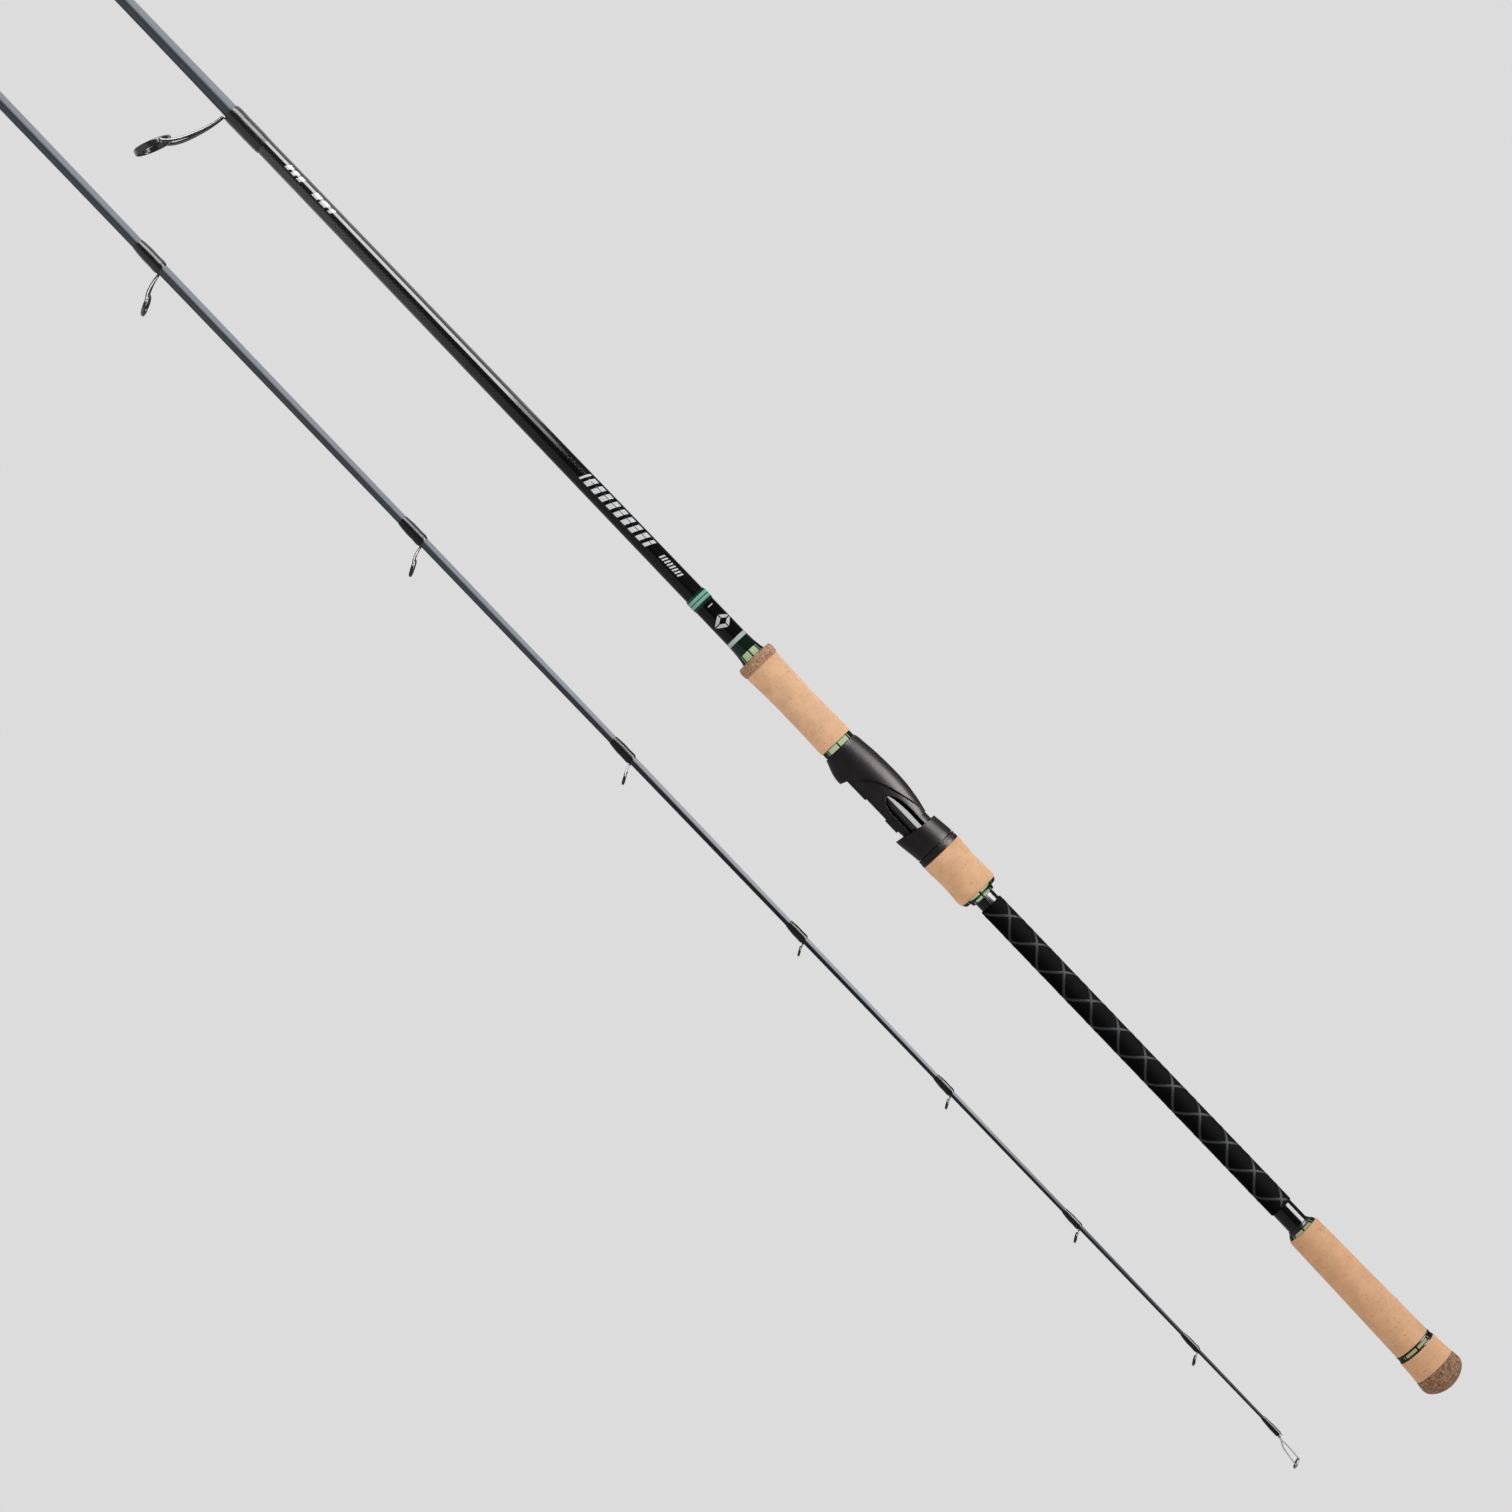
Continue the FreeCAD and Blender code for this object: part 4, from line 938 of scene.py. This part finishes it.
# ---------------------------------------------------------------- black thread wraps
def thread_wrap(piece, outline, under=TIP_BLANK, body=TIP, axis_z=TIP_Z, drop=0.0, foot=None,
                seg=64):
    """Thread and epoxy, over a guide foot of (low x, high x, half angle, height) if given."""
    start, end = outline[0][0], outline[-1][0]
    turns = thread_turns(0.014)

    def relief(x, angle):
        ends = smoothstep(x, start, start + 1.2) * (1 - smoothstep(x, end - 1.2, end))
        out = turns(x, angle) * ends
        if foot:
            # The wrap rides up over the foot, which lies along the blank's underside
            low_x, high_x, half_angle, height = foot
            from_below = wrap_angle(angle + math.pi / 2)
            along = (smoothstep(x, low_x - 1.2, low_x + 0.8)
                     * (1 - smoothstep(x, high_x - 0.8, high_x + 1.2)))
            out += height * np.exp(-(from_below / half_angle) ** 2) * along
        return out

    turned(piece + "_thread", spline(outline, 60), "black_wrap", BLACK_THREAD, seg,
           replaces=piece + "_wrap", inner=bore(outline, under), body=body, axis_z=axis_z,
           step=0.1, relief=relief, drop=drop)


# Wrap shapes: (share of length, share of height, measured from the blank at 0 start or 1 end)
STRIPPER_SHAPE = [(0.06, 0.86, 0), (0.22, 1.0, 0), (0.6, 0.95, 0), (0.86, 0.6, 1)]
GUIDE_SHAPE = [(0.14, 0.6, 0), (0.4, 0.95, 0), (0.78, 1.0, 1), (0.94, 0.86, 1)]
WRAP_EDGE = 0.22        # height of a wrap at its two ends
FOOT_SHARE = 0.62       # share of a wrap's length that has the foot under it
FOOT_OVERRUN = 2.0      # how far the foot runs out of the wrap


def wrap_outline(start, end, under, height, shape):
    radii = [float(radius_at(under, x)) for x in (start, end)]
    middle = [(start + along * (end - start), radii[which] + height * share)
              for along, share, which in shape]
    return [(start, radii[0] + WRAP_EDGE)] + middle + [(end, radii[1] + WRAP_EDGE)]


thread_wrap("tip_ferrule",
            [(-1357.6, 4.78), (-1356.6, 5.05), (-1352.0, 5.12), (-1326.0, 4.98),
             (-1322.6, 4.86), (-1321.0, 4.56)], seg=88)

start, end = -1057.8, -1029.6
thread_wrap("stripper", wrap_outline(start, end, STRIPPER_SEAT, 0.64, STRIPPER_SHAPE),
            under=STRIPPER_SEAT, body=BUTT, axis_z=0.0, drop=0.25, seg=104,
            foot=(start - FOOT_OVERRUN, start + FOOT_SHARE * (end - start), 0.42, 0.10))

# Guide number, wrap centre x, wrap length, foot wire radius
GUIDES = [
    (2, -1288.0, 25.0, 0.85), (3, -1029.0, 21.0, 0.75), (4, -801.0, 18.5, 0.65),
    (5, -619.0, 17.0, 0.55), (6, -468.0, 14.0, 0.46), (7, -340.5, 14.0, 0.46),
    (8, -229.2, 14.0, 0.46), (9, -126.8, 14.0, 0.46),
]
for number, centre, length, wire in GUIDES:
    start, end = centre - length / 2, centre + length / 2
    height = 0.35 * wire + 0.25 + 0.38
    thread_wrap(f"guide_{number}", wrap_outline(start, end, TIP_BLANK, height, GUIDE_SHAPE),
                drop=0.08, foot=(end - FOOT_SHARE * length, end + FOOT_OVERRUN, 0.5, 0.08))

thread_wrap("tip_top",
            [(-64.5, 1.12), (-63.6, 1.34), (-60.5, 1.62), (-56.5, 1.86), (-51.5, 1.88),
             (-50.4, 1.74), (-50.0, 1.50)])


# ---------------------------------------------------------------- tip-top: tube, hoop, three arms
def wire_shell(points, radius=0.38, count=48, seg=14):
    """Closed shell of a round wire along points, as vertices and face groups."""
    centres = np.array(spline(points, count))
    along = np.gradient(centres, axis=0)
    along /= np.linalg.norm(along, axis=1)[:, None]
    side = np.cross(along[0], (0.0, 0.0, 1.0))
    side /= np.linalg.norm(side)
    angles = np.arange(seg) * TURN / seg
    verts = []
    for i in range(count):
        side = side - along[i] * float(np.dot(side, along[i]))
        side /= np.linalg.norm(side)
        up = np.cross(along[i], side)
        verts.append(centres[i] + radius * (np.cos(angles)[:, None] * side
                                            + np.sin(angles)[:, None] * up))
    quads = [[i * seg + k, i * seg + (k + 1) % seg,
              (i + 1) * seg + (k + 1) % seg, (i + 1) * seg + k]
             for i in range(count - 1) for k in range(seg)]
    ends = [np.arange(seg)[None, ::-1], (count - 1) * seg + np.arange(seg)[None, :]]
    return np.concatenate(verts), [np.array(quads)] + ends


def spun_shell(loop, seg):
    """Closed ring from a closed loop of (x, radius), about the X axis."""
    verts = []
    for k in range(seg):
        angle = TURN * k / seg
        verts += [(x, -radius * math.cos(angle), radius * math.sin(angle)) for x, radius in loop]
    n = len(loop)
    quads = [[k * n + i, k * n + (i + 1) % n,
              ((k + 1) % seg) * n + (i + 1) % n, ((k + 1) % seg) * n + i]
             for k in range(seg) for i in range(n)]
    return np.array(verts, float), [np.array(quads)]


def tip_top():
    """Leaning hoop for the line ring, held on the tube by a single arm and a pair."""
    lean = math.radians(-22.0)
    cos, sin = math.cos(lean), math.sin(lean)
    centre = np.array([-30.4, 0.0, TIP_Z - 4.35])
    up = np.array([sin, 0.0, cos])
    inner, outer, half, chamfer = 2.98, 3.40, 0.55, 0.15
    nip = chamfer * 0.3
    hoop, hoop_faces = spun_shell(
        [(-half, inner), (-half, outer - chamfer), (-half + nip, outer - nip),
         (-half + chamfer, outer), (half - chamfer, outer), (half - nip, outer - nip),
         (half, outer - chamfer), (half, inner)], seg=96)
    tilt = np.array([[cos, 0, sin], [0, 1, 0], [-sin, 0, cos]])
    tube, tube_faces = spun_shell(
        [(-58.5, 1.0), (-58.5, 1.36), (-58.4, 1.42), (-48.65, 1.42), (-48.47, 1.34),
         (-48.4, 1.17), (-48.4, 0.30), (-49.1, 0.30), (-49.1, 1.0)], seg=48)
    joint = 3.2         # radius on the hoop where the arms meet it
    shells = [
        (hoop @ tilt.T + centre, hoop_faces),
        (tube + np.array([0.0, 0.0, TIP_Z]), tube_faces),
        wire_shell([(-50.9, 0, TIP_Z - 1.0), (-47.9, 0, TIP_Z - 1.05), (-41.0, 0, TIP_Z - 0.9),
                    centre + up * joint]),
    ]
    spread = math.radians(108)      # side arms' joints, from the top of the hoop
    for hand in (-1, 1):
        end = (centre + up * (joint * math.cos(spread))
               + np.array([0.0, hand * joint * math.sin(spread), 0.0]))
        shells.append(wire_shell(
            [(-50.9, hand * 0.80, TIP_Z - 0.60), (-47.9, hand * 1.0, TIP_Z - 0.85),
             (-44.5, hand * 1.35, TIP_Z - 2.6), (-38.5, hand * 2.1, TIP_Z - 4.2), end]))
    groups, base = [], 0
    for verts, faces in shells:
        groups += [group + base for group in outward(verts, faces)]
        base += len(verts)
    verts = np.concatenate([shell[0] for shell in shells])
    ob = add_mesh("tip_top_wirework", verts, groups, {}, sharp=40.0)
    fit(ob, TIP, TIP_STEEL, "tip_top_frame")


tip_top()

# ---------------------------------------------------------------- CAD pieces that keep their shape
FINISHES = {
    "reel_seat_body": SEAT, "moving_hood": SEAT, "lock_nut": SEAT,
    "seat_arbor_front": FOAM, "seat_arbor_rear": FOAM,
    "fixed_hood_cushion": HOOD_RUBBER, "hood_liner": HOOD_RUBBER,
    "stripper_frame": GUIDE_STEEL, "stripper_ring": CERAMIC, "tip_top_ring": CERAMIC,
}
for number, *_ in GUIDES:
    FINISHES[f"guide_{number}_frame"] = GUIDE_STEEL
    FINISHES[f"guide_{number}_ring"] = CERAMIC
for name, finish in FINISHES.items():
    materials = NODES[name].data.materials
    materials.clear()
    materials.append(finish)

# ---------------------------------------------------------------- floor
BACKDROP = srgb(220, 220, 220)[0]
FLOOR_GAP = 0.0008
FLOOR_HALF = 40.0
FLOOR_ALBEDO = 0.70


def floor_material():
    """Matt floor seen from above, backdrop grey at grazing angles; bounce light is set apart: to
    rays from the rod the floor glows, as painted fill and painted reflection.
    """
    material = bpy.data.materials.new("pale_floor")
    material.use_nodes = True
    material.node_tree.nodes.clear()
    net = Net(material.node_tree)
    place = net.node("TexCoord").outputs["Object"]
    mottle = net.fade(net.noise(place, scale=3.0), over=(0.3, 0.7))
    tone = net.mix(mottle, grey(FLOOR_ALBEDO * 0.992), grey(FLOOR_ALBEDO * 1.008))
    matt = net.node("BsdfDiffuse", {"Color": tone}).outputs[0]
    backdrop = net.node("Emission", {"Color": grey(BACKDROP)}).outputs[0]
    incoming = net.node("NewGeometry").outputs["Incoming"]
    steepness = net.calc("ABSOLUTE", net.split(incoming)[2])
    seen = net.mix_shader(net.fade(steepness, over=(0.225, 0.30)), backdrop, matt)
    # Shiny undersides see a painted reflection: the floor glows for glossy rays, paler towards the
    # rod's -X end
    glow = net.mul(net.fade(net.split(place)[0], over=(-1.15, -0.72), to=(0.95, 0.24)),
                   net.fade(steepness, over=(0.12, 0.55)))
    glow = net.add(glow, 0.012)
    rays = net.node("LightPath").outputs
    bounce = net.mix(rays["Is Glossy Ray"], (0.74, 0.735, 0.73, 1), net.join(glow, glow, glow))
    bounce = net.node("Emission", {"Color": bounce}).outputs[0]
    net.node("OutputMaterial", {"Surface": net.mix_shader(rays["Is Camera Ray"], bounce, seen)})
    return material


floor_z = cad_low[2] - FLOOR_GAP
floor_mesh = bpy.data.meshes.new("floor")
corners = [(x * FLOOR_HALF, y * FLOOR_HALF, floor_z)
           for x, y in ((-1, -1), (1, -1), (1, 1), (-1, 1))]
floor_mesh.from_pydata(corners, [], [(0, 1, 2, 3)])
floor = bpy.data.objects.new("floor", floor_mesh)
bpy.context.scene.collection.objects.link(floor)
floor_mesh.materials.append(floor_material())


# ---------------------------------------------------------------- world
def studio_world():
    world = bpy.data.worlds.new("studio")
    bpy.context.scene.world = world
    world.use_nodes = True
    world.node_tree.nodes.clear()
    net = Net(world.node_tree)
    x, y, z = net.split(net.node("TexCoord").outputs["Generated"])
    rays = net.node("LightPath").outputs
    glossy, diffuse = rays["Is Glossy Ray"], rays["Is Diffuse Ray"]
    # Shiny surfaces see a dark studio, a little lighter above and behind
    shiny = net.add(0.020, net.mul(net.fade(z, over=(-0.05, 0.35)), 0.05))
    behind = net.mul(net.fade(y, over=(0.55, 0.95)), net.fade(z, over=(-0.25, 0.25)))
    shiny = net.add(shiny, net.mul(behind, 0.08))
    # Matt surfaces see a soft light, a little darker from below
    matt = net.fade(z, over=(-0.7, 0.9), to=(0.60, 0.74))
    level = net.add(net.mul(glossy, shiny), net.mul(diffuse, matt))
    # All other rays see the backdrop
    other = net.mul(net.sub(1.0, net.max(glossy, diffuse)), BACKDROP)
    level = net.add(level, other)
    background = net.node("Background", {"Color": net.join(level, level, level)})
    net.node("OutputWorld", {0: background.outputs[0]})
    world.cycles.sampling_method = "NONE"


studio_world()


# ---------------------------------------------------------------- lights
def add_area(name, size, size_y, energy):
    light = bpy.data.lights.new(name, "AREA")
    light.shape = "RECTANGLE"
    light.size, light.size_y = size, size_y
    light.energy = energy
    ob = bpy.data.objects.new(name, light)
    bpy.context.scene.collection.objects.link(ob)
    ob.visible_camera = False
    return ob


def posed(place, right, up, back):
    """World matrix at a place, from the three axes of a light or camera."""
    return Matrix.Translation(place) @ Matrix((right, up, back)).transposed().to_4x4()


def room_light(name, place, size_y, power, color):
    """Wide soft light aimed at the rod, unseen by shiny surfaces."""
    ob = add_area(name, 3.0, size_y, power)
    ob.data.color = color
    ob.location = place
    aim = Vector((-0.66, 0.0, -0.05)) - Vector(place)
    ob.rotation_euler = aim.to_track_quat("-Z", "Y").to_euler()
    ob.visible_glossy = False


room_light("key", (-0.66, -1.5, 1.9), size_y=1.2, power=22.0, color=(1.0, 0.995, 0.985))
room_light("back_fill", (-0.66, 2.0, 1.6), size_y=1.4, power=14.0, color=(0.97, 0.985, 1.0))


def soft_box(name, x, rise, radiance, distance=1.5, receivers=(), leave_out=()):
    """Strip light parallel to the rod, seen only by shiny surfaces.

    x is its two ends; rise is its two edges, in degrees up from the front.
    """
    low, high = (Vector((0, -distance * math.cos(a), distance * math.sin(a)))
                 for a in map(math.radians, rise))
    middle = (low + high) / 2
    width, depth = x[1] - x[0], (high - low).length
    ob = add_area(name, width, depth, radiance * math.pi * width * depth)
    back = middle.normalized()
    right = Vector((1, 0, 0))
    place = Vector(((x[0] + x[1]) / 2, middle.y, middle.z))
    ob.matrix_world = posed(place, right, back.cross(right), back)
    ob.visible_diffuse = False
    for suffix, members in (("_on", receivers), ("_off", leave_out)):
        if members:
            collection = bpy.data.collections.new(name + suffix)
            for member in members:
                collection.objects.link(member)
            if suffix == "_off":
                for member in collection.collection_objects:
                    member.light_linking.link_state = "EXCLUDE"
            ob.light_linking.receiver_collection = collection


# Pieces that the main strips leave out
UNLIT = ("butt_blank_skin", "tip_blank_skin", "tip_top_wirework", "label_wrap_gloss",
         "teal_wrap_thread", "silver_band_thread", "green_wrap_thread")
FLAT = [ob for ob in bpy.data.objects if ob.name in UNLIT or ob.name.endswith("_green")]
TIP_TOP = [bpy.data.objects["tip_top_wirework"]]
COATED = [bpy.data.objects["gloss_layer"]]
soft_box("strip_left", x=(-3.6, -0.945), rise=(38, 78), radiance=15.0, leave_out=FLAT)
soft_box("strip_left_end", x=(-0.945, -0.895), rise=(40, 76), radiance=5.0, leave_out=FLAT)
soft_box("strip_left_top", x=(-3.6, -0.90), rise=(80, 150), radiance=1.3, leave_out=FLAT)
soft_box("strip_right", x=(-0.575, 2.4), rise=(46, 86), radiance=15.0, leave_out=FLAT)
soft_box("strip_tip", x=(-1.6, 1.9), rise=(-8, 100), radiance=1.3, receivers=TIP_TOP)
soft_box("strip_window", x=(-0.52, -0.36), rise=(-12, 100), radiance=13.0, receivers=COATED)
soft_box("strip_window_low", x=(-0.50, -0.42), rise=(-100, -10), radiance=0.40,
         distance=0.055, receivers=COATED)

# ---------------------------------------------------------------- camera
CAMERA_TARGET = Vector((-0.5611, 0.0, -0.0402))
CAMERA_DISTANCE = 2.93
ROLL_COS, ROLL_SIN = 0.69196, 0.72194   # the picture's right side points to +X and +Z

camera_data = bpy.data.cameras.new("camera")
camera_data.sensor_width = 36.0
camera_data.lens = 116.27
camera_data.clip_start = 0.05
camera_data.clip_end = 200.0
camera = bpy.data.objects.new("camera", camera_data)
scene = bpy.context.scene
scene.collection.objects.link(camera)
right = Vector((ROLL_COS, 0.0, ROLL_SIN))
up = Vector((-ROLL_SIN, 0.0, ROLL_COS))
back = right.cross(up)
camera.matrix_world = posed(CAMERA_TARGET + back * CAMERA_DISTANCE, right, up, back)
scene.camera = camera
scene.view_settings.view_transform = "Standard"
scene.view_settings.look = "None"
